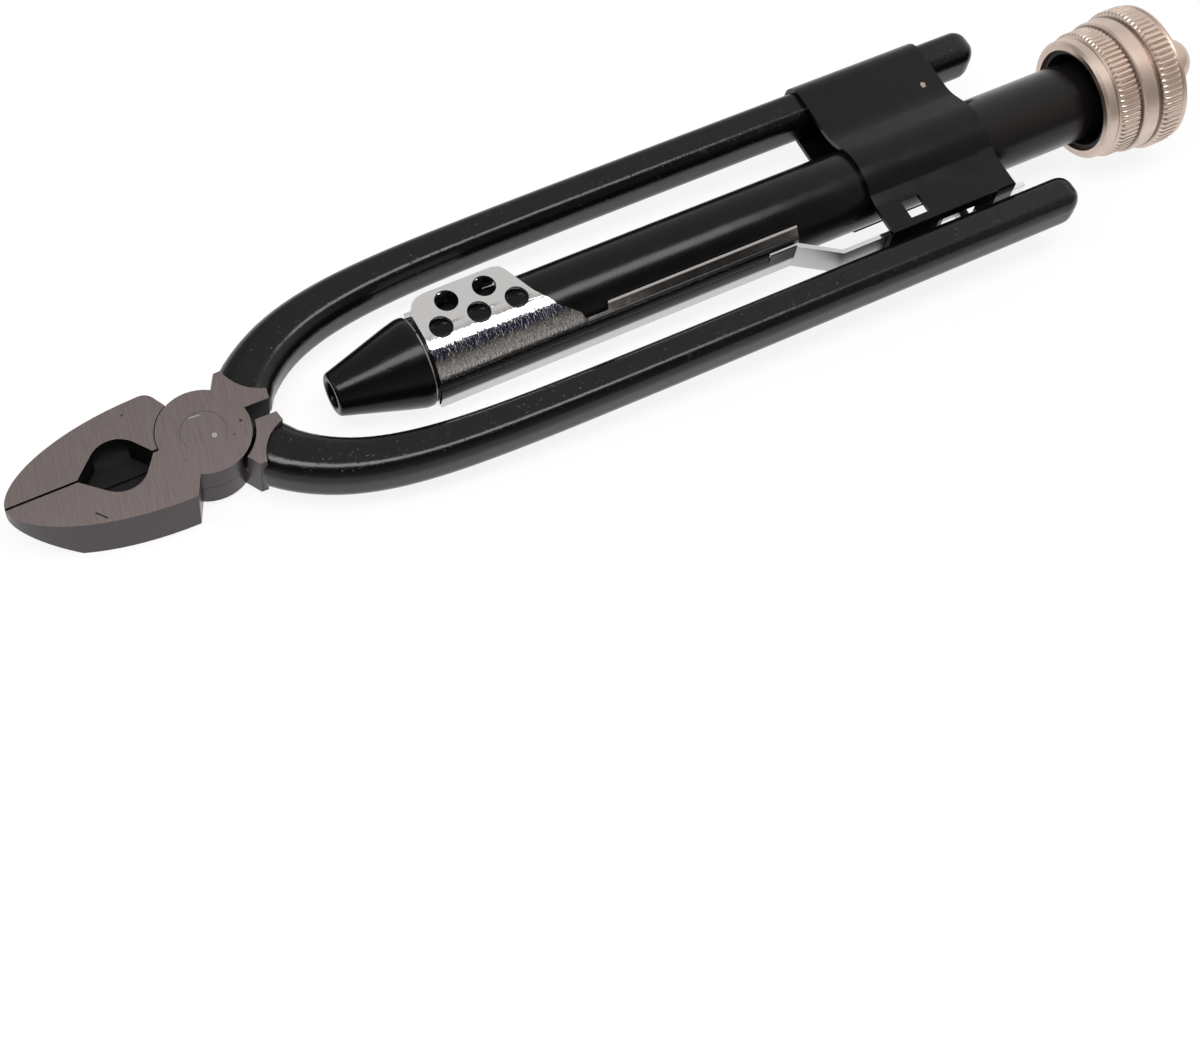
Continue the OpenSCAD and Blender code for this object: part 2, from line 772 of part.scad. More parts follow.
// Path of the flat tail seen from above: along the rail, out through the jog, then straight
module tail_plan() {
    run = strip_in - slide_in;
    lean = slide_t * (norm([jog_len, run]) - jog_len) / run;
    bend = rail_end - slide_t;
    polygon([
        [rail_end - 6, -slide_in], [bend + lean, -slide_in], [bend + jog_len + lean, -strip_in],
        [strip_end, -strip_in], [strip_end, -strip_out], [bend + jog_len, -strip_out],
        [bend, -slide_out], [rail_end - 6, -slide_out]
    ]);
}

module lock_slide() {
    color("gainsboro") at_origin() difference() {
        union() {
            intersection() {
                difference() {
                    union() {
                        rod(slide_front, rail_end, slide_out);
                        translate([slide_front, 0, sleeve_top + 0.5])
                            cube([cover_len, 2 * slide_out, slide_out - eps - sleeve_top - 0.5]);
                    }
                    rod(slide_front - 1, rail_end + 1, slide_in);
                    translate([slide_front - 1, 0, sleeve_top])
                        cube([cover_len + 2, 3 * slide_out, slide_in - eps - sleeve_top]);
                }
                union() {
                    translate([0, 0, -2 * slide_out]) linear_extrude(4 * slide_out) slide_plan();
                    translate([slide_front, 0, -2 * slide_out])
                        cube([cover_len - cover_slant, 2 * slide_out, 2 * slide_out + sleeve_top + 0.2]);
                }
            }
            translate([0, 0, -strip_w / 2]) linear_extrude(strip_w) tail_plan();
            translate([strip_end - 1, -strip_out, -tail_w / 2]) cube([tail_end - strip_end + 1, slide_t, tail_w]);
        }
        for (i = [0:2])
            translate([slide_front + grip_lead + i * grip_pitch, 0, 0]) cylinder(d = grip_d, h = 2 * slide_out);
        for (i = [0:1])
            translate([slide_front + grip_side_lead + i * grip_pitch, grip_side_y, 0])
                cylinder(d = grip_d, h = 2 * slide_out);
        translate([strip_notch_front, -strip_out - 1, -strip_w])
            cube([strip_notch_rear - strip_notch_front, slide_t + 2, 1.5 * strip_w - strip_rail]);
    }
}

// Foot of the catch, let into the lower handle
module catch_foot(gap) {
    translate([catch_rear - catch_stem - gap, -handle_spread - gap, catch_low - gap])
        cube([catch_stem, handle_spread - handle_in + 1, catch_w] + gap * [2, 2, 2]);
}

module lock_catch() {
    color("silver") at_origin() {
        catch_foot(0);
        translate([catch_rear - catch_stem, -handle_in - 0.5, catch_low])
            cube([catch_stem, handle_in + 0.5 - catch_in, catch_w]);
        translate([catch_front, -catch_out, catch_low])
            cube([catch_nose + catch_stem, catch_out - catch_in, catch_w]);
    }
}

module at_origin() {
    translate([-mid_x, 0, 0]) children();
}

lower_jaw_lever();
upper_jaw_lever();
upper_handle_coat();
lower_handle_coat();
pivot_rivet();
saddle_bracket();
spindle_tube();
nose_cone();
guide_bush();
return_spring();
front_spring_seat();
rear_spring_seat();
twist_rod();
rod_end_nut();
knob();
knob_liner();
dome_nut();
lock_slide();
lock_catch();
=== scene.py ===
import math

import bmesh
import bpy
from bpy.props import FloatProperty, FloatVectorProperty, IntProperty, PointerProperty
from mathutils import Matrix, Vector


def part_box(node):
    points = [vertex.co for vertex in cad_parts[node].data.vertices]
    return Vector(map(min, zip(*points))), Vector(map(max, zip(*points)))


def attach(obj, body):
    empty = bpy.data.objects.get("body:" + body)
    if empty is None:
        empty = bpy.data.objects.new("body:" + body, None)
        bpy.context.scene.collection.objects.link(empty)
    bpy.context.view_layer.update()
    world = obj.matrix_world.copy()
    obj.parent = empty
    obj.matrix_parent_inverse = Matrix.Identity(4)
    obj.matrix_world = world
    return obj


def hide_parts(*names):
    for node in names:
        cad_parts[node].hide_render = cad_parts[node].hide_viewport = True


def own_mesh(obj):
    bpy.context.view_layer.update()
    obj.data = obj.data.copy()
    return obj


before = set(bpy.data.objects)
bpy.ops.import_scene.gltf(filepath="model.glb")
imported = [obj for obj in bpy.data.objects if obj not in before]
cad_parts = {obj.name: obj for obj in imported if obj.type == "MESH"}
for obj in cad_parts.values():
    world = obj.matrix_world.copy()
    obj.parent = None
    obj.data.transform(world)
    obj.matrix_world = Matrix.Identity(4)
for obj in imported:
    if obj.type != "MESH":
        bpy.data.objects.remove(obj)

bl_info = {
    "name": "Safety Wire Pliers",
    "version": (1, 0, 0),
    "blender": (4, 5, 0),
    "location": "View3D > Sidebar > Pliers",
    "description": "Dresses safety wire pliers: ground jaws, dipped handles, chrome slide and knurled knob",
    "category": "Object",
}

# Units, tolerances and angles
MM = 0.001
WELD = 1e-6
FLAT = math.radians(0.6)
SHARP = math.radians(34)
FULL_TURN = 2 * math.pi
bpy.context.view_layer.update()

# Places taken from the frame
RIVET_LOW, RIVET_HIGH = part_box("pivot_rivet")
PIVOT_X = (RIVET_LOW.x + RIVET_HIGH.x) / 2
HEAD_HALF = RIVET_HIGH.z
COAT_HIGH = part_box("upper_handle_coat")[1]
TUBE_LOW, TUBE_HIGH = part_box("spindle_tube")
NOSE_LOW, NOSE_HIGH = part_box("nose_cone")
BRACKET_LOW, BRACKET_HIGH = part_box("saddle_bracket")
BRACKET_WRAP = 0.95 * MM
BRACKET_FLAT = COAT_HIGH.z + BRACKET_WRAP
SEAT_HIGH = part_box("front_spring_seat")[1]
KNOB_LOW, KNOB_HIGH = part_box("knob")
NUT_LOW, NUT_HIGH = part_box("dome_nut")
SLIDE_LOW, SLIDE_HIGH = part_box("lock_slide")
SLIDE_R = SLIDE_HIGH.z
ROD_LOW, ROD_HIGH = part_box("twist_rod")
SPRING_LOW, SPRING_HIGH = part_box("return_spring")

# Parts of the slide along the tube, the marks on the jaws and the bracket, the painted shadow behind the
# disc and the painted glint on a dent
COVER_END, TAIL_START, RAIL_END = (PIVOT_X + reach * MM for reach in (66, 102.8, 108))
RECESS_LOW = Vector((PIVOT_X - 22.4 * MM, -5.1 * MM, -1.6 * MM))
RECESS_HIGH = Vector((PIVOT_X - 8.3 * MM, 5.1 * MM, HEAD_HALF - 0.12 * MM))
# Where the painted shadow in the gap behind the disc begins
GAP_SHADOW_X = PIVOT_X + 5.8 * MM
GRIND_TURN = math.radians(12.4)
GOUGE_AT = Vector((PIVOT_X - 20.4 * MM, -7.2 * MM, HEAD_HALF))
SCRATCH_AT = Vector((PIVOT_X - 0.3 * MM, 3.2 * MM, HEAD_HALF))
# Centre of the painted glint round a dent
DENT_GLINT_AT = Vector((PIVOT_X + 1.3 * MM, -1.3 * MM, HEAD_HALF))
CHIP_AT = Vector((PIVOT_X + 146.4 * MM, 11.5 * MM, BRACKET_FLAT))


def length(name, description, millimetres):
    """A length property with its default given in millimetres."""
    return FloatProperty(
        name=name, description=description, default=millimetres * MM,
        unit="LENGTH", subtype="DISTANCE", precision=5,
    )


def colour(name, description, red, green, blue):
    """A linear colour property."""
    return FloatVectorProperty(
        name=name, description=description, default=(red, green, blue, 1.0),
        size=4, subtype="COLOR", min=0, max=1,
    )


def brightness(name, description, value):
    """A property for the strength of a light."""
    return FloatProperty(name=name, description=description, default=value, min=0)


class PliersSizes(bpy.types.PropertyGroup):
    """Sizes that the dressed pieces need beside the frame's own."""

    edge_round: length("Ground edge", "Rounding of the ground edges of the jaws", 0.22)
    sheet_round: length("Sheet edge", "Rounding of the cut edges of the sheet parts", 0.14)
    handle_corner: length("Handle corner", "Corner radius of a dipped handle", 3.0)
    root_extra: length("Handle root", "Extra width at the root of a handle", 3.0)
    bend_start: length("Bend start", "Pivot to the start of the handle's bend", 4.6)
    bend_len: length("Bend length", "Distance over which the bend dies away", 11.2)
    tube_wall: length("Tube wall", "Wall of the spindle tube", 1.0)
    nose_tip: length("Nose tip", "Radius of the nose at its tip", 3.7)
    nose_hole: length("Nose hole", "Radius of the opening in the nose", 2.3)
    nose_flare: length("Nose flare", "Length over which the nose flares out to its collar", 3.0)
    skirt: length("Skirt", "How far the slide's side hangs below the middle of the tube", 3.0)
    sheet: length("Bracket sheet", "Sheet thickness of the saddle bracket", 0.9)
    bend: length("Bracket bend", "Outer radius of the bend to the flange", 1.45)
    knurl_depth: length("Knurl depth", "Depth of the grooves between the knurl teeth", 0.36)
    knurl_teeth: IntProperty(name="Knurl teeth", description="Teeth round each knurled band", default=72)
    bar_width: length("Bar width", "Width of the twisted bar", 8.0)
    bar_thick: length("Bar thickness", "Thickness of the twisted bar", 3.0)
    lead: length("Lead", "Advance of the spindle in one turn", 40.0)
    spring_wire: length("Spring wire", "Wire of the return spring", 0.9)
    spring_turns: IntProperty(name="Spring turns", description="Turns of the return spring", default=17)
    pull: length("Pull", "Travel of the knob, by which the spring shortens", 80.0)


class PliersFinishes(bpy.types.PropertyGroup):
    """Colours of the finishes."""

    steel: colour("Ground steel", "Ground faces of the jaws", 0.255, 0.213, 0.206)
    steel_dark: colour("Steel grooves", "Grinding lines and nicks in the steel", 0.12, 0.1, 0.098)
    # Painted shade: the jaws' upright flanks and the knob's seams are darkened with this colour
    shaded_steel: colour("Steel flanks", "Smooth flanks of the jaws", 0.055, 0.045, 0.05)
    forged: colour("Forged black", "Blackened faces of the cutter recess", 0.006, 0.006, 0.0063)
    dip: colour("Dipped black", "Dipped coat of the handles", 0.0042, 0.0038, 0.0039)
    dip_worn: colour("Worn black", "Thin places of the dipped coat", 0.03, 0.028, 0.028)
    paint: colour("Painted black", "Paint of the tube, nose and bracket", 0.0045, 0.004, 0.0041)
    chip: colour("Paint chip", "Bare metal in a chip of the paint", 0.34, 0.26, 0.2)
    chrome: colour("Chrome", "Plated sheet of the slide", 0.88, 0.87, 0.87)
    # Painted shade on the slide: the dark one goes under the bracket and is a painted dark reflection along
    # the skirt's top; the grey one goes on the lower skirt and the tail
    sheet_dark_shade: colour("Dull sheet", "Dark places of the slide's side and tail", 0.035, 0.034, 0.034)
    sheet_grey_shade: colour("Grey sheet", "Satin side of the slide's skirt and tail", 0.56, 0.55, 0.56)
    nickel: colour("Satin nickel", "Plating of the knob", 0.69, 0.56, 0.485)
    nickel_dark: colour("Nickel shade", "Dull places of the knob's plating", 0.36, 0.29, 0.245)
    bright: colour("Bright steel", "Drawn steel of the spindle", 0.55, 0.54, 0.53)
    brass: colour("Brass", "Guide bush", 0.62, 0.43, 0.17)
    liner: colour("Liner", "Black liner of the knob cup", 0.012, 0.012, 0.012)


class PliersStage(bpy.types.PropertyGroup):
    """Camera, floor and light."""

    camera_at: FloatVectorProperty(
        name="Camera", description="Place of the camera",
        default=(-0.14187, -0.17139, 0.32276), unit="LENGTH",
    )
    camera_right: FloatVectorProperty(
        name="Camera right", description="Direction to the right of the picture",
        default=(0.8744, -0.4735, 0.1061),
    )
    camera_up: FloatVectorProperty(
        name="Camera up", description="Direction up the picture",
        default=(0.3806, 0.8048, 0.4554),
    )
    camera_lens: FloatProperty(name="Lens", description="Focal length on a 36 mm sensor", default=67.125)
    floor_colour: colour("Floor", "Pale floor", 0.93, 0.93, 0.93)
    floor_front: length("Floor at the jaws", "Height of the floor under the jaws' flat", -4.75)
    floor_rear: length("Floor at the knob", "Height of the floor under the knob", -13.3)
    backdrop: brightness("Backdrop", "Brightness behind the tool", 0.6)
    room: brightness("Room", "Brightness of the room on the camera's side", 0.75)
    right: brightness("Right side", "Brightness of the room on the knob's side", 0.98)
    flag: brightness("Flag", "Brightness of the dark flag round the camera", 0.02)
    soft_box: brightness("Soft box", "Brightness of the overhead soft box", 8.5)
    fill: brightness("Fill", "Brightness of the fill from the left", 1.0)


class Wire:
    """A shader value: sums on it add Math nodes to its tree."""

    def __init__(self, tree, socket=None):
        self.tree = tree
        self.socket = socket

    def node(self, kind, settings=None, sockets=None, output=0):
        """Adds a node: its settings first, then the values or links of its sockets."""
        made = self.tree.nodes.new("ShaderNode" + kind)
        for name, value in (settings or {}).items():
            setattr(made, name, value)
        for key, value in (sockets or {}).items():
            if isinstance(value, Wire):
                self.tree.links.new(value.socket, made.inputs[key])
            else:
                made.inputs[key].default_value = value
        return Wire(self.tree, made.outputs[output]) if len(made.outputs) else None

    def maths(self, operation, first, second):
        """Adds one Math node."""
        return self.node("Math", {"operation": operation}, {0: first, 1: second})

    def __add__(self, other):
        return self.maths("ADD", self, other)

    def __radd__(self, other):
        return self.maths("ADD", other, self)

    def __sub__(self, other):
        return self.maths("SUBTRACT", self, other)

    def __rsub__(self, other):
        return self.maths("SUBTRACT", other, self)

    def __mul__(self, other):
        return self.maths("MULTIPLY", self, other)

    def __rmul__(self, other):
        return self.maths("MULTIPLY", other, self)


def spot(wire):
    """Object coordinates, in metres."""
    return wire.node("TexCoord", output="Object")


def grain(wire, scale, stretch=(1, 1, 1), turn=0.0, detail=2.0):
    """Noise from 0 to 1 with scale features in a metre, stretched and turned about Z."""
    turned_spot = wire.node("Mapping", {}, {"Vector": spot(wire), "Rotation": (0, 0, turn)})
    placed = wire.node("Mapping", {}, {"Vector": turned_spot, "Scale": stretch})
    return wire.node("TexNoise", {}, {"Vector": placed, "Scale": scale, "Detail": detail})


def part(wire, vector, axis):
    """One part of a vector."""
    return wire.node("SeparateXYZ", {}, {"Vector": vector}, output=axis)


def parts(wire, vector):
    """All three parts of a vector."""
    return (part(wire, vector, axis) for axis in "XYZ")


def between(wire, value, low, high):
    """0 below low, 1 above high."""
    return wire.node("MapRange", {"clamp": True}, {"Value": value, "From Min": low, "From Max": high})


def within(wire, value, low, high, soft):
    """1 from low to high, fading out over soft on both sides."""
    return between(wire, value, low - soft, low) * (1 - between(wire, value, high, high + soft))


def mixed(wire, share, first, second):
    """Colour between first and second."""
    return wire.node("Mix", {"data_type": "RGBA"}, {0: share, 6: first, 7: second}, output=2)


def mark(wire, at, half_len, half_wide, soft, slope):
    """1 on a short straight mark in the ground face, fading out over soft at its sides."""
    x, y, _ = parts(wire, spot(wire))
    along = x - at.x
    end_soft = 0.2 * MM
    return within(wire, along, -half_len, half_len, end_soft) * within(
        wire, y - at.y + along * slope, -half_wide, half_wide, soft
    )


def far_from(wire, at):
    """Distance from a place, in metres."""
    return wire.node("VectorMath", {"operation": "DISTANCE"}, {0: spot(wire), 1: at}, output="Value")


def bumped(wire, height, distance, strength=1.0):
    """Normal raised by a height from 0 to 1 over a distance in metres."""
    return wire.node("Bump", {}, {"Height": height, "Distance": distance, "Strength": strength})


def finish_material(name, build):
    """Material whose surface is the Principled shader that build describes."""
    made = bpy.data.materials.get("dressed_" + name)
    if made is None:
        made = bpy.data.materials.new("dressed_" + name)
        made.use_nodes = True
        made.node_tree.nodes.clear()
        wire = Wire(made.node_tree)
        surface = wire.node("BsdfPrincipled", {}, build(wire, bpy.context.scene.pliers_finishes))
        wire.node("OutputMaterial", {}, {"Surface": surface})
    return made


def upright(wire):
    """1 on faces that stand upright, 0 on those that look up or down."""
    level = part(wire, wire.node("TexCoord", output="Normal"), "Z")
    return 1 - between(wire, wire.maths("ABSOLUTE", level, 0.0), 0.55, 0.8)


def ground_steel(wire, tone):
    """Faces ground across the tool, smooth flanks in painted shade, a blackened recess, a painted shadow in
    the gap behind the disc and a painted glint round a dent.
    """
    x, y, z = parts(wire, spot(wire))
    flank = upright(wire)
    lines = grain(wire, 1.0, (6000, 150, 150), GRIND_TURN, 3.0)
    fine = grain(wire, 1.0, (13000, 400, 400), GRIND_TURN)
    shade = between(wire, lines * 0.55 + fine * 0.45, 0.25, 0.75)
    nicks = between(wire, grain(wire, 560, detail=3.0), 0.72, 0.76)
    recess = within(wire, z, RECESS_LOW.z, RECESS_HIGH.z, 0.06 * MM)
    recess *= within(wire, x, RECESS_LOW.x, RECESS_HIGH.x, 0.1 * MM)
    recess *= within(wire, y, RECESS_LOW.y, RECESS_HIGH.y, 0.1 * MM)
    # Painted shadow: black in the gap between the disc and the neck behind it, and on the block that fills
    # that gap
    gap_shadow = within(wire, z, 0.3 * MM - HEAD_HALF, HEAD_HALF - 0.3 * MM, 0.06 * MM)
    gap_shadow *= between(wire, x, GAP_SHADOW_X, GAP_SHADOW_X + 0.6 * MM) * between(wire, y, -4 * MM, -3 * MM)
    black = wire.maths("MAXIMUM", recess, gap_shadow)
    gouge = mark(wire, GOUGE_AT, 0.6 * MM, 0.14 * MM, 0.1 * MM, 1.25)
    scratch = mark(wire, SCRATCH_AT, 0.8 * MM, 0.05 * MM, 0.06 * MM, 0.1)
    # Painted glint: a bright ring round a dent in the top face
    dent_glint = within(wire, far_from(wire, DENT_GLINT_AT), 0.2 * MM, 0.34 * MM, 0.12 * MM)
    top = between(wire, z, HEAD_HALF - 0.1 * MM, HEAD_HALF - 0.05 * MM)
    # Bright steel for the real scratch and for the painted glint round the dent
    bare = wire.maths("MAXIMUM", dent_glint, scratch) * top
    ground = mixed(wire, shade, tuple(tone.steel_dark), tuple(tone.steel))
    # Painted shade: upright flanks take a darker copy of the steel, besides being smoother
    steel = mixed(wire, flank, ground, tuple(tone.shaded_steel))
    worn = mixed(wire, bare * 0.8, steel, tuple(tone.bright))
    marked = mixed(wire, wire.maths("MAXIMUM", nicks * 0.8, gouge), worn, tuple(tone.forged))
    return {
        "Base Color": mixed(wire, black, marked, tuple(tone.forged)),
        "Metallic": 1 - black,
        "Roughness": 0.46 - shade * 0.12 + nicks * 0.2 - flank * 0.08 + black * 0.2,
        "Specular IOR Level": 0.15,
        "Normal": bumped(wire, (lines * 0.7 + fine * 0.3) * (1 - flank) - nicks * 0.6, 0.02 * MM, 0.6),
    }


def dipped_black(wire, tone):
    """Glossy dipped coat with an uneven skin, small pimples and thin, dull places."""
    skin = grain(wire, 800, detail=2.0)
    swell = grain(wire, 150, detail=1.0)
    pimples = between(wire, grain(wire, 1500, detail=1.0), 0.68, 0.78)
    thin = between(wire, grain(wire, 420, detail=4.0), 0.66, 0.8)
    return {
        "Base Color": mixed(wire, thin * 0.4, tuple(tone.dip), tuple(tone.dip_worn)),
        "Roughness": 0.17 + swell * 0.08 + thin * 0.15,
        "Specular IOR Level": 0.35,
        "Normal": bumped(wire, skin * 0.5 + swell + pimples * 0.6, 0.1 * MM, 0.6),
    }


def painted_black(wire, tone):
    """Satin paint with fine grit, a few specks, a bare chip on the bracket and a bright, broken metallic
    ring at the rear edge of the nose collar.
    """
    grit = grain(wire, 2400, detail=2.0)
    flow = grain(wire, 240, detail=1.0)
    specks = between(wire, grain(wire, 900, detail=2.0), 0.72, 0.75)
    ragged = far_from(wire, CHIP_AT) + grain(wire, 2600, detail=2.0) * MM
    chip = 1 - between(wire, ragged, 0.95 * MM, 1.1 * MM)
    x = part(wire, spot(wire), "X")
    rim = within(wire, x, TUBE_LOW.x - 0.36 * MM, TUBE_LOW.x - 0.04 * MM, 0.06 * MM)
    rim *= between(wire, grain(wire, 700, detail=2.0), 0.3, 0.5)
    covered = mixed(wire, chip, tuple(tone.paint), tuple(tone.chip))
    return {
        "Base Color": mixed(wire, rim, covered, tuple(tone.bright)),
        "Metallic": rim,
        "Roughness": 0.15 + flow * 0.12 + chip * 0.2 - specks * 0.05 + rim * 0.15,
        "Specular IOR Level": 0.24,
        "Normal": bumped(wire, grit * 0.3 + flow + specks * 0.5 - chip * 0.8, 0.08 * MM, 0.5),
    }


def chrome_sheet(wire, tone):
    """Bright plating: rippled on the cover, rougher on the skirt and tail, in painted shade under the
    bracket, on the tail and on the lower skirt, with a painted dark reflection along the skirt's top, and
    dull on the rail's edge.
    """
    level = part(wire, wire.node("TexCoord", output="Normal"), "Z")
    x, y, z = parts(wire, spot(wire))
    curved = between(wire, level, 0.35, 0.5) * (1 - between(wire, level, 0.965, 0.997))
    curved *= 1 - between(wire, x, COVER_END, COVER_END + MM)
    drawn = grain(wire, 1.0, (2600, 900, 900), detail=2.0)
    haze = grain(wire, 260, detail=2.0)
    specks = between(wire, grain(wire, 3000, detail=2.0), 0.5, 0.75) * curved
    # Painted shade: the sheet under the bracket is darkened
    under = within(wire, x, BRACKET_LOW.x + MM, SLIDE_HIGH.x - 2.8 * MM, 0.1 * MM)
    tail = within(wire, x, RAIL_END, BRACKET_LOW.x + MM, 0.3 * MM) * (1 - between(wire, level, 0.35, 0.5))
    skirt = within(wire, y, -SLIDE_R - 0.05 * MM, -SLIDE_R + 0.25 * MM, 0.04 * MM)
    skirt *= 1 - between(wire, x, RAIL_END, RAIL_END + 0.3 * MM)
    # Painted shade and reflection: grey on the tail and the lower skirt, dark along the skirt's top
    height = between(wire, z, -0.9 * MM, -0.1 * MM)
    sides = mixed(wire, height, tuple(tone.sheet_grey_shade), tuple(tone.sheet_dark_shade))
    lip = within(wire, x, COVER_END + 4 * MM, RAIL_END + MM, 0.1 * MM)
    lip *= between(wire, z, 5.45 * MM, 5.6 * MM)
    plated = mixed(wire, specks * 0.6, tuple(tone.chrome), tuple(tone.steel_dark))
    plated = mixed(wire, skirt, mixed(wire, tail, plated, tuple(tone.sheet_grey_shade)), sides)
    return {
        "Base Color": mixed(wire, under, plated, tuple(tone.sheet_dark_shade)),
        "Metallic": 1.0,
        "Roughness": 0.07 + haze * 0.05 + specks * 0.2 + tail * 0.3 + skirt * 0.15 + lip * 0.45,
        "Normal": bumped(wire, drawn * curved + haze * 0.2, 0.14 * MM, 0.5),
    }


def satin_nickel(wire, tone):
    """Blasted and plated, with dull clouds and painted shade in the seams beside the knurled bands."""
    blast = grain(wire, 4200, detail=2.0)
    cloud = grain(wire, 260, detail=3.0)
    along = part(wire, spot(wire), "X") - KNOB_LOW.x
    half = 0.03 * MM
    # Painted shade in the seams beside the knurled bands
    seams = sum(
        within(wire, along, at * MM - half, at * MM + half, 0.1 * MM) for at in (2.5, 7.25, 11.35)
    )
    dull = between(wire, cloud, 0.35, 0.8) * 0.4
    plated = mixed(wire, dull, tuple(tone.nickel), tuple(tone.nickel_dark))
    return {
        "Base Color": mixed(wire, seams * 0.65, plated, tuple(tone.shaded_steel)),
        "Metallic": 1.0,
        "Roughness": 0.34 + cloud * 0.1,
        "Normal": bumped(wire, blast, 0.02 * MM, 0.5),
    }


def bright_steel(wire, tone):
    """Drawn steel with fine lines round the axis."""
    lines = grain(wire, 1.0, (5200, 200, 200), detail=2.0)
    grooves = between(wire, lines, 0.3, 0.7) * 0.35
    return {
        "Base Color": mixed(wire, grooves, tuple(tone.bright), tuple(tone.steel_dark)),
        "Metallic": 1.0,
        "Roughness": 0.22 + lines * 0.12,
        "Normal": bumped(wire, lines, 0.01 * MM, 0.4),
    }


def bush_brass(wire, tone):
    """Turned brass, a little dull."""
    rings = grain(wire, 1.0, (6000, 300, 300), detail=2.0)
    dull = grain(wire, 380, detail=3.0)
    return {
        "Base Color": mixed(wire, dull * 0.4, tuple(tone.brass), tuple(tone.chip)),
        "Metallic": 1.0,
        "Roughness": 0.26 + dull * 0.14,
        "Normal": bumped(wire, rings, 0.012 * MM, 0.5),
    }


def black_liner(wire, tone):
    """Dull moulded liner."""
    texture = grain(wire, 3000, detail=2.0)
    return {
        "Base Color": mixed(wire, texture * 0.5, tuple(tone.liner), tuple(tone.dip_worn)),
        "Roughness": 0.55 + texture * 0.2,
        "Normal": bumped(wire, texture, 0.03 * MM, 0.5),
    }


FINISHES = {
    "ground_steel": ground_steel,
    "black_dip": dipped_black,
    "black_paint": painted_black,
    "chrome_sheet": chrome_sheet,
    "satin_nickel": satin_nickel,
    "bright_steel": bright_steel,
    "bush_brass": bush_brass,
    "black_liner": black_liner,
}


def finish_of(slot):
    """The material of one of the record's slots."""
    return finish_material(slot, FINISHES[slot])


def place_piece(bm, name, body, slot, nodes, smooth=SHARP, even=False):
    """Turns a bmesh into a piece that rides on a body and stands for CAD nodes."""
    mesh = bpy.data.meshes.new(name)
    bm.to_mesh(mesh)
    bm.free()
    mesh.shade_smooth()
    mesh.set_sharp_from_angle(angle=smooth)
    mesh.materials.append(finish_of(slot))
    piece = bpy.data.objects.new(name, mesh)
    bpy.context.scene.collection.objects.link(piece)
    if even:
        weights = piece.modifiers.new("Even faces", "WEIGHTED_NORMAL")
        weights.keep_sharp = True
    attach(piece, body)
    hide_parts(*nodes)
    return piece


def dress_node(node, slot):
    """Gives a CAD node that stays its finish."""
    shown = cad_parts[node]
    shown.data.materials.clear()
    shown.data.materials.append(finish_of(slot))


def line_of(bm, points, closed=False):
    """Wire through a few points."""
    verts = [bm.verts.new(p) for p in points]
    for first, second in zip(verts, verts[1:] + verts[:1] if closed else verts[1:]):
        bm.edges.new((first, second))
    return verts


def rectangle(bm, x, half_w, half_h):
    """Closed wire round a rectangle that stands across the tool at x."""
    corners = ((-half_w, -half_h), (half_w, -half_h), (half_w, half_h), (-half_w, half_h))
    return line_of(bm, [(x, y, z) for y, z in corners], closed=True)


def grow(bm, ring, move):
    """Extrudes a ring of edges and returns the new ring, moved by a matrix."""
    grown = bmesh.ops.extrude_edge_only(bm, edges=ring)["geom"]
    bmesh.ops.transform(bm, matrix=move, verts=[g for g in grown if isinstance(g, bmesh.types.BMVert)])
    return [g for g in grown if isinstance(g, bmesh.types.BMEdge)]


def add_block(bm, low, high):
    """Adds a block between two corners."""
    low, high = Vector(low), Vector(high)
    place = Matrix.Translation((low + high) / 2) @ Matrix.Diagonal((*(high - low), 1))
    bmesh.ops.create_cube(bm, size=1.0, matrix=place)


def round_corners(bm, verts, radius, segments):
    """Rounds the corners of a wire."""
    bmesh.ops.bevel(
        bm, geom=verts, offset=radius, offset_type="OFFSET", segments=segments, profile=0.5,
        affect="VERTICES", material=-1, clamp_overlap=True,
    )


def round_edges(bm, edges, radius, segments):
    """Rounds edges of a solid."""
    bmesh.ops.bevel(
        bm, geom=edges, offset=radius, offset_type="OFFSET", segments=segments, profile=0.5,
        affect="EDGES", material=-1, clamp_overlap=True,
    )


def sharp_edges(bm, angle=SHARP):
    """Edges where two faces meet at more than the angle."""
    return [e for e in bm.edges if e.is_manifold and e.calc_face_angle() > angle]


def close_seams(bm):
    """Merges seams and poles, and turns every face outwards."""
    bmesh.ops.remove_doubles(bm, verts=bm.verts, dist=WELD)
    bmesh.ops.recalc_face_normals(bm, faces=bm.faces)


def spin_round(bm, steps):
    """Spins all that is in the bmesh round the twist axis."""
    bmesh.ops.spin(
        bm, geom=bm.verts[:] + bm.edges[:], cent=(0, 0, 0), axis=(1, 0, 0), angle=FULL_TURN,
        steps=steps, use_merge=True, use_duplicate=False,
    )
    close_seams(bm)


def turned(profile, steps, radius=0.0, segments=2):
    """Closed profile of (x, r) points, its corners rounded, spun round the twist axis."""
    bm = bmesh.new()
    verts = line_of(bm, [(x, 0, r) for x, r in profile], closed=True)
    if radius:
        round_corners(bm, verts, radius, segments)
    spin_round(bm, steps)
    return bm


def merged_copy(node):
    """Copy of a CAD node with its loose triangles joined into whole faces."""
    bm = bmesh.new()
    bm.from_mesh(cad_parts[node].data)
    bmesh.ops.remove_doubles(bm, verts=bm.verts, dist=WELD)
    bmesh.ops.dissolve_limit(bm, angle_limit=FLAT, verts=bm.verts, edges=bm.edges)
    return bm


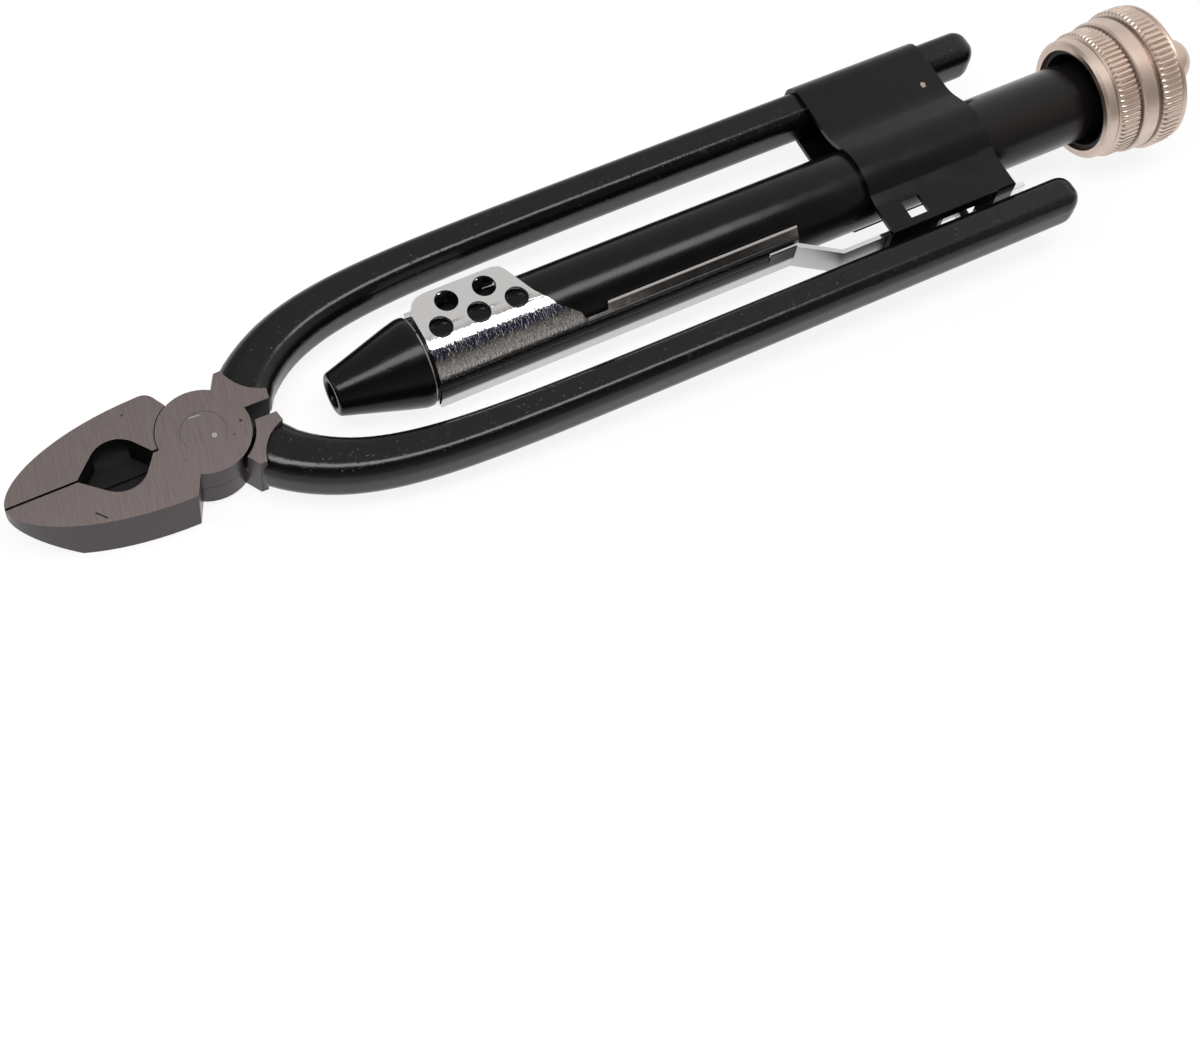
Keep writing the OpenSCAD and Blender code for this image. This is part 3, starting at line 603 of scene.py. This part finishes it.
class PLIERS_OT_jaws(bpy.types.Operator):
    """Dress both jaw levers and the rivet: ground faces with rounded edges"""

    bl_idname = "pliers.jaws"
    bl_label = "Jaws"

    def execute(self, context):
        sizes = context.scene.pliers_sizes
        grip = 1.2 * MM
        short = 0.3 * MM
        # A block that fills the gap behind the disc; the ground steel paints it black as painted shadow
        shadow_block_low = (PIVOT_X + 7.7 * MM, -1.6 * MM, -4.2 * MM)
        shadow_block_high = (PIVOT_X + 9.3 * MM, 0.2 * MM, -0.4 * MM)

        def outline(edge):
            middle = (edge.verts[0].co + edge.verts[1].co) / 2
            level = all(abs(abs(v.co.z) - HEAD_HALF) < WELD * 10 for v in edge.verts)
            return level and abs(middle.y) > grip and edge.calc_length() > short

        for node, name, body in (
            ("lower_jaw_lever", "lower_jaw", "frame"),
            ("upper_jaw_lever", "upper_jaw", "jaw_lever"),
        ):
            bm = merged_copy(node)
            round_edges(bm, [e for e in sharp_edges(bm) if outline(e)], sizes.edge_round, 3)
            if body == "jaw_lever":
                add_block(bm, shadow_block_low, shadow_block_high)
            place_piece(bm, name, body, "ground_steel", [node], even=True)
        bm = merged_copy("pivot_rivet")
        round_edges(bm, sharp_edges(bm), sizes.edge_round * 0.25, 2)
        place_piece(bm, "rivet", "frame", "ground_steel", ["pivot_rivet"], even=True)
        return {"FINISHED"}


class PLIERS_OT_handles(bpy.types.Operator):
    """Loft both dipped handles along their bend"""

    bl_idname = "pliers.handles"
    bl_label = "Handles"

    def execute(self, context):
        sizes = context.scene.pliers_sizes
        high = 2 * COAT_HIGH.z
        end = COAT_HIGH.x - PIVOT_X
        wide = 7.0 * MM
        spread = COAT_HIGH.y - wide / 2
        root = 8.0 * MM
        fade = 15.0 * MM
        bend_from, bend_to = 11.4 * MM, 62 * MM
        bend_steps, straight_steps, end_steps = 30, 12, 8
        end_round = 3.2 * MM
        spur_mid = Vector((9.65, 6.25)) * MM
        spur_turn = math.radians(42)

        def bend(x):
            return math.exp((sizes.bend_start - x) / sizes.bend_len)

        def station(x, inset=0.0):
            turn = math.atan(spread / sizes.bend_len * bend(x))
            width = wide + sizes.root_extra * math.exp((root - x) / fade)
            return Vector((x, spread * (1 - bend(x)))), turn, width - 2 * inset, high - 2 * inset

        def place(at, turn, width, height):
            stretch = Matrix.Diagonal((1, width, height, 1))
            return Matrix.Translation((PIVOT_X + at.x, at.y, 0)) @ Matrix.Rotation(turn, 4, "Z") @ stretch

        root_width = wide + sizes.root_extra
        behind = Vector((math.cos(spur_turn), math.sin(spur_turn))) * MM
        tuck_wide, tuck_high = 0.92, 0.98
        stations = [
            (spur_mid - behind, spur_turn, root_width * tuck_wide, high * tuck_high),
            (spur_mid, spur_turn, root_width, high),
        ]
        bent, straight = bend_to - bend_from, end - end_round - bend_to
        stations += [station(bend_from + bent * i / bend_steps) for i in range(bend_steps + 1)]
        stations += [station(bend_to + straight * i / straight_steps) for i in range(1, straight_steps)]
        for k in range(end_steps + 1):
            angle = math.pi / 2 * k / end_steps
            inset = end_round * (1 - math.cos(angle))
            stations.append(station(end - end_round * (1 - math.sin(angle)), inset))
        for name, body, node, side in (
            ("upper_handle", "frame", "upper_handle_coat", 1),
            ("lower_handle", "jaw_lever", "lower_handle_coat", -1),
        ):
            bm = bmesh.new()
            width, height = stations[0][2:]
            flat = Matrix.Diagonal((1, width, height, 1))
            round_corners(bm, rectangle(bm, 0, width / 2, height / 2), sizes.handle_corner, 6)
            last = place(*stations[0])
            bmesh.ops.transform(bm, matrix=last @ flat.inverted(), verts=bm.verts)
            ring = bm.edges[:]
            bmesh.ops.edgeloop_fill(bm, edges=ring)
            for one in stations[1:]:
                here = place(*one)
                ring = grow(bm, ring, here @ last.inverted())
                last = here
            bmesh.ops.edgeloop_fill(bm, edges=ring)
            if side < 0:
                bmesh.ops.scale(bm, vec=(1, -1, 1), verts=bm.verts)
            close_seams(bm)
            place_piece(bm, name, body, "black_dip", [node], even=True)
        return {"FINISHED"}


class PLIERS_OT_tube(bpy.types.Operator):
    """Turn the spindle tube and its nose"""

    bl_idname = "pliers.tube"
    bl_label = "Tube and nose"

    def execute(self, context):
        sizes = context.scene.pliers_sizes
        outer = TUBE_HIGH.y
        inner = outer - sizes.tube_wall
        lip = 5.3 * MM
        lip_len = 0.6 * MM
        steps = 112
        tube_edge, nose_edge = 0.28 * MM, 0.5 * MM
        tube = turned(
            [
                (TUBE_LOW.x, inner), (TUBE_LOW.x, outer), (TUBE_HIGH.x, outer), (TUBE_HIGH.x, lip),
                (TUBE_HIGH.x - lip_len, lip), (TUBE_HIGH.x - lip_len, inner),
            ],
            steps, tube_edge, 3,
        )
        place_piece(tube, "tube", "frame", "black_paint", ["spindle_tube"])
        collar = 1.1 * MM
        gap = 0.02 * MM
        cone_end = TUBE_LOW.x - gap - collar
        spigot = inner - gap
        nose = turned(
            [
                (NOSE_LOW.x, sizes.nose_hole), (NOSE_LOW.x, sizes.nose_tip),
                (cone_end - sizes.nose_flare, outer - 0.1 * MM), (cone_end - 0.3 * MM, NOSE_HIGH.y),
                (TUBE_LOW.x - gap, NOSE_HIGH.y), (TUBE_LOW.x - gap, spigot),
                (NOSE_HIGH.x, spigot), (NOSE_HIGH.x, spigot - MM), (cone_end, spigot - MM),
                (NOSE_LOW.x + 3 * MM, sizes.nose_hole),
            ],
            steps, nose_edge, 4,
        )
        place_piece(nose, "nose", "frame", "black_paint", ["nose_cone"])
        return {"FINISHED"}


class PLIERS_OT_slide(bpy.types.Operator):
    """Dress the chrome slide, with its skirt and the wall under its grip plate, and the catch"""

    bl_idname = "pliers.slide"
    bl_label = "Slide and catch"

    def execute(self, context):
        sizes = context.scene.pliers_sizes
        bm = merged_copy("lock_slide")
        wall_low = (PIVOT_X + 41.5 * MM, 6.15 * MM, 4.5 * MM)
        wall_high = (PIVOT_X + 55.5 * MM, 6.85 * MM, 7.6 * MM)
        thick = 0.8 * MM
        folded = math.radians(50)
        add_block(bm, wall_low, wall_high)
        add_block(bm, (SLIDE_LOW.x, -SLIDE_R, -sizes.skirt), (TAIL_START, thick - SLIDE_R, 0))
        round_edges(bm, sharp_edges(bm, folded), sizes.sheet_round, 2)
        place_piece(bm, "slide", "lock_slider", "chrome_sheet", ["lock_slide"], even=True)
        bm = merged_copy("lock_catch")
        round_edges(bm, sharp_edges(bm), sizes.edge_round, 2)
        place_piece(bm, "catch", "jaw_lever", "bright_steel", ["lock_catch"], even=True)
        return {"FINISHED"}


class PLIERS_OT_bracket(bpy.types.Operator):
    """Bend the saddle bracket from sheet round the tube and the upper handle"""

    bl_idname = "pliers.bracket"
    bl_label = "Saddle bracket"

    def execute(self, context):
        sizes = context.scene.pliers_sizes
        front, rear = BRACKET_LOW.x, BRACKET_HIGH.x
        hole = (front + 4.7 * MM, front + 8.5 * MM)
        window = (front + 10.2 * MM, front + 19.0 * MM)
        tab_end = rear - 3.7 * MM
        hole_far, hole_near, tab_side = -8.8 * MM, -12.6 * MM, -13.9 * MM
        window_top = 3.0 * MM
        cut_edge = math.radians(60)
        bm = self.section(sizes, front, (tab_side, hole_near, hole_far), window_top)
        ring = bm.edges[:]
        stations = [front, *hole, *window, tab_end, rear]
        for start, stop in zip(stations, stations[1:]):
            ring = grow(bm, ring, Matrix.Translation((stop - start, 0, 0)))

        def cut(at):
            in_hole = hole[0] < at.x < hole[1] and hole_near < at.y < hole_far and at.z > 0
            in_window = window[0] < at.x < window[1] and at.y < BRACKET_LOW.y + WELD and at.z < window_top
            return in_hole or in_window or (at.x > tab_end and at.y < tab_side)

        gone = [f for f in bm.faces if cut(f.calc_center_median())]
        bmesh.ops.delete(bm, geom=gone, context="FACES")
        bmesh.ops.recalc_face_normals(bm, faces=bm.faces)
        on_plate = Vector((rear, hole_near, BRACKET_FLAT))
        plate = min(bm.faces, key=lambda f: (f.calc_center_median() - on_plate).length)
        if plate.normal.z < 0:
            bmesh.ops.reverse_faces(bm, faces=bm.faces)
        bmesh.ops.solidify(bm, geom=bm.faces[:], thickness=sizes.sheet)
        close_seams(bm)
        round_edges(bm, sharp_edges(bm, cut_edge), sizes.sheet_round, 2)
        place_piece(bm, "bracket", "frame", "black_paint", ["saddle_bracket"], even=True)
        return {"FINISHED"}

    def section(self, sizes, front, plate_stops, window_top):
        """Outer line of the bent sheet, from the flange over the tube and round the handle."""
        saddle = TUBE_HIGH.y + BRACKET_WRAP
        flange, outer = BRACKET_LOW.y, BRACKET_HIGH.y
        low, slope = -5.5 * MM, 8.2 * MM
        corner = sizes.handle_corner + BRACKET_WRAP
        run_out = 1.5 * MM
        flat = BRACKET_FLAT
        over = [math.radians(a) for a in range(-45, 26, 5)]
        under = [math.radians(a) for a in range(25, -41, -5)]
        line = [(flange, low), (flange, window_top), (flange, flat)]
        line += [(y, flat) for y in (*plate_stops, -saddle)]
        fold, foot = 2, len(line) - 1
        bends = {fold: sizes.bend, foot: 0.5 * MM, foot + 1: 0.3 * MM}
        line += [(saddle * math.sin(a), saddle * math.cos(a)) for a in over]
        first = len(line)
        line += [(slope, flat), (outer, flat), (outer, -flat), (slope, -flat)]
        bends.update({first: run_out, first + 1: corner, first + 2: corner, first + 3: run_out})
        line += [(saddle * math.sin(a), -saddle * math.cos(a)) for a in under]
        bm = bmesh.new()
        verts = line_of(bm, [(front, y, z) for y, z in line])
        for radius in sorted(set(bends.values())):
            round_corners(bm, [verts[i] for i, r in bends.items() if r == radius], radius, 5)
        return bm


class PLIERS_OT_knob(bpy.types.Operator):
    """Turn the knurled knob and its domed nut"""

    bl_idname = "pliers.knob"
    bl_label = "Knob"

    def execute(self, context):
        sizes = context.scene.pliers_sizes
        front = KNOB_LOW.x
        wide = KNOB_HIGH.y
        cup = 9.7 * MM
        floor = front + 10.4 * MM
        bore = 2.55 * MM
        seat = NUT_HIGH.y + 0.8 * MM
        crown = KNOB_HIGH.x
        lip, band, waist = 11.3 * MM, 11.95 * MM, 12.5 * MM
        bands = ((front + 2.9 * MM, front + 7.2 * MM, band), (front + 11.5 * MM, front + 15.7 * MM, wide))
        profile = [
            (front, cup), (front, lip - 0.5 * MM), (front + 0.5 * MM, lip), (front + 2.2 * MM, lip),
            (front + 2.5 * MM, lip - 0.25 * MM), (front + 2.8 * MM, lip),
        ]
        chamfer = 0.45 * MM
        steps = 4
        for start, stop, radius in bands:
            flat = stop - start - 2 * chamfer
            profile += [(start, radius - chamfer), (start + chamfer, radius)]
            profile += [(start + chamfer + flat * i / steps, radius) for i in range(1, steps)]
            profile += [(stop - chamfer, radius), (stop, radius - chamfer)]
            if radius < wide:
                profile += [
                    (stop + 0.1 * MM, waist - 0.35 * MM), (stop + 0.4 * MM, waist), (stop + 3.3 * MM, waist),
                    (stop + 3.7 * MM, waist - 0.4 * MM), (stop + 4.0 * MM, waist - 0.7 * MM),
                ]
        rim = bands[1][1]
        profile += [
            (rim + 0.1 * MM, wide - 0.45 * MM), (rim + 0.35 * MM, wide - 0.25 * MM),
            (rim + 0.8 * MM, wide - 0.3 * MM), (rim + 1.1 * MM, wide - 0.8 * MM),
        ]
        base, rim_r = profile[-1]
        rise = crown - base
        crown_steps = 8
        for i in range(1, crown_steps + 1):
            share = i / crown_steps
            radius = rim_r + (seat - rim_r) * share
            profile.append((base + rise * (1 - (1 - share) ** 2), radius))
        sunk = crown - 0.6 * MM
        profile += [(sunk, seat), (sunk, bore), (floor, bore), (floor, cup)]
        steps_per_tooth = 8
        skin = 0.1 * MM
        bm = turned(profile, sizes.knurl_teeth * steps_per_tooth)
        for vert in bm.verts:
            reach = math.hypot(vert.co.y, vert.co.z)
            for start, stop, radius in bands:
                if start - WELD <= vert.co.x <= stop + WELD and reach > radius - skin:
                    angle = math.atan2(vert.co.z, vert.co.y)
                    groove = ((1 + math.cos(sizes.knurl_teeth * angle)) / 2) ** 3
                    vert.co.yz *= 1 - sizes.knurl_depth * groove / reach
        place_piece(bm, "knob_shell", "spindle", "satin_nickel", ["knob"])
        nut_r = NUT_HIGH.y
        base = NUT_HIGH.x - nut_r
        dome_steps = 10
        angles = [math.pi / 2 * k / dome_steps for k in range(dome_steps + 1)]
        points = [(NUT_LOW.x, 0.0), (NUT_LOW.x, nut_r)]
        points += [(base + nut_r * math.sin(a), nut_r * math.cos(a)) for a in angles]
        nut = bmesh.new()
        line_of(nut, [(x, 0, r) for x, r in points])
        spin_round(nut, 48)
        place_piece(nut, "end_nut", "spindle", "satin_nickel", ["dome_nut"])
        dress_node("knob_liner", "black_liner")
        return {"FINISHED"}


class PLIERS_OT_drive(bpy.types.Operator):
    """Make the twisted bar and the spring, and finish the other inner pieces"""

    bl_idname = "pliers.drive"
    bl_label = "Twist drive"

    def execute(self, context):
        sizes = context.scene.pliers_sizes
        for node, slot in (
            ("guide_bush", "bush_brass"), ("front_spring_seat", "bright_steel"),
            ("rear_spring_seat", "bright_steel"), ("rod_end_nut", "bright_steel"),
        ):
            dress_node(node, slot)
        self.spring(sizes)
        front = SEAT_HIGH.x + 0.2 * MM
        rear = KNOB_LOW.x + 7.5 * MM
        half_w, half_t = sizes.bar_width / 2, sizes.bar_thick / 2
        bar_corner = 0.6 * MM
        spindle_r, shoulder_r, stud_r = 2 * MM, half_w + 0.4 * MM, 2.5 * MM
        shoulder_len = 1.98 * MM
        bm = bmesh.new()
        round_corners(bm, rectangle(bm, front, half_w, half_t), bar_corner, 3)
        start = Matrix.Rotation(FULL_TURN * (front - PIVOT_X) / sizes.lead, 4, "X")
        bmesh.ops.transform(bm, matrix=start, verts=bm.verts)
        ring = bm.edges[:]
        bmesh.ops.edgeloop_fill(bm, edges=ring)
        steps = 160
        ahead = (rear + MM - front) / steps
        turn = Matrix.Translation((ahead, 0, 0)) @ Matrix.Rotation(FULL_TURN * ahead / sizes.lead, 4, "X")
        for _ in range(steps):
            ring = grow(bm, ring, turn)
        bmesh.ops.edgeloop_fill(bm, edges=ring)
        along = Matrix.Rotation(math.pi / 2, 4, "Y")
        for x0, x1, radius in (
            (ROD_LOW.x, front + MM, spindle_r),
            (rear, rear + shoulder_len, shoulder_r),
            (rear + MM, ROD_HIGH.x, stud_r),
        ):
            bmesh.ops.create_cone(
                bm, cap_ends=True, segments=40, radius1=radius, radius2=radius, depth=x1 - x0,
                matrix=Matrix.Translation(((x0 + x1) / 2, 0, 0)) @ along,
            )
        close_seams(bm)
        place_piece(bm, "twisted_bar", "spindle", "bright_steel", ["twist_rod"])
        return {"FINISHED"}

    def spring(self, sizes):
        """Winds the return spring at its free length; on the tool it shortens towards its rear seat as the
        knob is pulled.
        """
        wire = sizes.spring_wire / 2
        free = SPRING_HIGH.x - SPRING_LOW.x
        steps_per_turn = 24
        steps = sizes.spring_turns * steps_per_turn
        climb = (free - 2 * wire) / steps
        bm = bmesh.new()
        start = Matrix.Translation((SPRING_LOW.x + wire, 0, SPRING_HIGH.z - wire))
        start @= Matrix.Rotation(math.pi / 2, 4, "X")
        bmesh.ops.create_circle(bm, segments=10, radius=wire, matrix=start)
        ring = bm.edges[:]
        grown = bmesh.ops.spin(
            bm, geom=bm.verts[:] + ring, cent=(0, 0, 0), axis=(1, 0, 0), dvec=(climb, 0, 0),
            angle=FULL_TURN * sizes.spring_turns, steps=steps, use_merge=False, use_duplicate=False,
        )["geom_last"]
        bmesh.ops.edgeloop_fill(bm, edges=ring)
        bmesh.ops.edgeloop_fill(bm, edges=[g for g in grown if isinstance(g, bmesh.types.BMEdge)])
        close_seams(bm)
        piece = place_piece(bm, "spring", "frame", "bright_steel", ["return_spring"])
        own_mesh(piece)


class PLIERS_OT_stage(bpy.types.Operator):
    """Set the camera, the pale floor and the soft studio light"""

    bl_idname = "pliers.stage"
    bl_label = "Stage"

    def execute(self, context):
        look = context.scene.pliers_stage
        right, up = Vector(look.camera_right).normalized(), Vector(look.camera_up).normalized()
        back = right.cross(up)
        data = bpy.data.cameras.new("camera")
        data.sensor_fit = "HORIZONTAL"
        data.sensor_width = 36.0
        data.lens = look.camera_lens
        data.clip_start, data.clip_end = 0.01, 20.0
        camera = bpy.data.objects.new("camera", data)
        turn = Matrix((right, up, back)).transposed().to_4x4()
        camera.matrix_world = Matrix.Translation(look.camera_at) @ turn
        context.scene.collection.objects.link(camera)
        context.scene.camera = camera
        self.floor(context, look)
        self.lamps(context, look)
        context.scene.view_settings.view_transform = "Standard"
        return {"FINISHED"}

    def floor(self, context, look):
        """Lays the floor under the jaws' flat and the knob, so that it slopes a little."""
        front_x, rear_x = PIVOT_X - 24.5 * MM, PIVOT_X + 185 * MM
        slope = (look.floor_rear - look.floor_front) / (rear_x - front_x)
        reach = 3.0
        bm = bmesh.new()
        bmesh.ops.create_grid(bm, x_segments=1, y_segments=1, size=reach)
        shear = Matrix.Identity(4)
        shear[2][0] = slope
        shear[2][3] = look.floor_front - slope * front_x
        bmesh.ops.transform(bm, matrix=shear, verts=bm.verts)
        mesh = bpy.data.meshes.new("floor")
        bm.to_mesh(mesh)
        bm.free()
        floor = bpy.data.objects.new("floor", mesh)
        context.scene.collection.objects.link(floor)
        mesh.materials.append(self.floor_finish(look))

    def floor_finish(self, look):
        """Floor that is nearly white where the camera or a mirror sees it and keeps the shadow."""
        glow = 0.88
        made = bpy.data.materials.new("pale_floor")
        made.use_nodes = True
        made.node_tree.nodes.clear()
        wire = Wire(made.node_tree)
        seen = wire.node("LightPath", output="Is Camera Ray")
        for ray in ("Is Glossy Ray", "Is Transmission Ray"):
            seen = wire.maths("MAXIMUM", seen, wire.node("LightPath", output=ray))
        lit = wire.node("BsdfDiffuse", {}, {"Color": tuple(look.floor_colour)})
        white = wire.node("Emission", {}, {"Color": (1, 1, 1, 1), "Strength": 1.0})
        surface = wire.node("MixShader", {}, {0: seen * glow, 1: lit, 2: white})
        wire.node("OutputMaterial", {}, {"Surface": surface})
        return made

    def lamps(self, context, look):
        """Room by lean, the angle from straight up towards the camera, and by the way across to the knob."""
        jaw_loss, rail_loss, knob_loss = 0.35, 0.98, 0.8
        box_at, box_aim, box_size = (-0.12, -0.065, 0.8), (-0.12, -0.065, 0), (0.96, 0.27)
        fill_at, fill_aim, fill_size = (-0.75, 0.25, 0.45), (0, 0, 0), (0.5, 0.5)
        world = bpy.data.worlds.new("surround")
        context.scene.world = world
        world.use_nodes = True
        world.node_tree.nodes.clear()
        wire = Wire(world.node_tree)
        way = wire.node("TexCoord", output="Generated")
        lean = wire.maths("ARCTAN2", 0 - part(wire, way, "Y"), part(wire, way, "Z"))
        across = part(wire, way, "X")

        def rising(low, high):
            return between(wire, lean, math.radians(low), math.radians(high))

        jaw_side = 1 - between(wire, across, 0.04, 0.24)
        rail_side = within(wire, across, 0.338, 0.43, 0.008)
        knob_side = between(wire, across, 0.42, 0.54)
        behind = 1 - rising(-20, 5)
        flag = within(wire, lean, math.radians(14), math.radians(43), math.radians(2))
        room = look.room * rising(38, 125) * (1 - rail_side * rail_loss)
        backdrop = look.backdrop * (1 - jaw_side * jaw_loss)
        middle = room + behind * (backdrop - room) - flag * (room - look.flag)
        right = look.right * (1 - rising(15, 95) * knob_loss)
        bright = middle + knob_side * (right - middle)
        tan, cool, navy = (1.0, 0.93, 0.86, 1), (1.0, 0.99, 0.97, 1), (0.4, 0.5, 1.0, 1)
        tint = mixed(wire, flag * (1 - knob_side), mixed(wire, behind, tan, cool), navy)
        dim = wire.node("Background", {}, {"Color": tint, "Strength": bright})
        white = wire.node("Background", {}, {"Color": (1, 1, 1, 1), "Strength": 1.0})
        seen = wire.node("LightPath", output="Is Camera Ray")
        surface = wire.node("MixShader", {}, {0: seen, 1: dim, 2: white})
        wire.node("OutputWorld", {}, {"Surface": surface})
        self.lamp(context, "soft_box", box_at, box_aim, box_size, look.soft_box)
        self.lamp(context, "left_fill", fill_at, fill_aim, fill_size, look.fill)

    def lamp(self, context, name, at, towards, size, bright):
        """Hangs one soft box, its brightness that of its face."""
        data = bpy.data.lights.new(name, "AREA")
        data.shape = "RECTANGLE"
        data.size, data.size_y = size
        data.energy = bright * math.pi * data.size * data.size_y
        lamp = bpy.data.objects.new(name, data)
        context.scene.collection.objects.link(lamp)
        lamp.location = at
        lamp.rotation_euler = (Vector(towards) - Vector(at)).to_track_quat("-Z", "Y").to_euler()


class PLIERS_PT_panel(bpy.types.Panel):
    """Lists the sizes, finishes and builders of the pliers"""

    bl_idname = "PLIERS_PT_panel"
    bl_label = "Safety wire pliers"
    bl_space_type = "VIEW_3D"
    bl_region_type = "UI"
    bl_category = "Pliers"

    def draw(self, context):
        for group in (context.scene.pliers_sizes, context.scene.pliers_finishes, context.scene.pliers_stage):
            box = self.layout.box()
            for name in group.__annotations__:
                box.prop(group, name)
        for builder in BUILDERS:
            self.layout.operator(builder.bl_idname)


BUILDERS = (
    PLIERS_OT_jaws,
    PLIERS_OT_handles,
    PLIERS_OT_tube,
    PLIERS_OT_slide,
    PLIERS_OT_bracket,
    PLIERS_OT_knob,
    PLIERS_OT_drive,
    PLIERS_OT_stage,
)
GROUPS = {"pliers_sizes": PliersSizes, "pliers_finishes": PliersFinishes, "pliers_stage": PliersStage}


def register():
    for one in (*GROUPS.values(), *BUILDERS, PLIERS_PT_panel):
        bpy.utils.register_class(one)
    for name, group in GROUPS.items():
        setattr(bpy.types.Scene, name, PointerProperty(type=group))


def unregister():
    for name in GROUPS:
        delattr(bpy.types.Scene, name)
    for one in (PLIERS_PT_panel, *reversed(BUILDERS), *reversed(GROUPS.values())):
        bpy.utils.unregister_class(one)


def main():
    register()
    bpy.ops.pliers.jaws()
    bpy.ops.pliers.handles()
    bpy.ops.pliers.tube()
    bpy.ops.pliers.slide()
    bpy.ops.pliers.bracket()
    bpy.ops.pliers.knob()
    bpy.ops.pliers.drive()
    bpy.ops.pliers.stage()


if __name__ == "__main__":
    main()
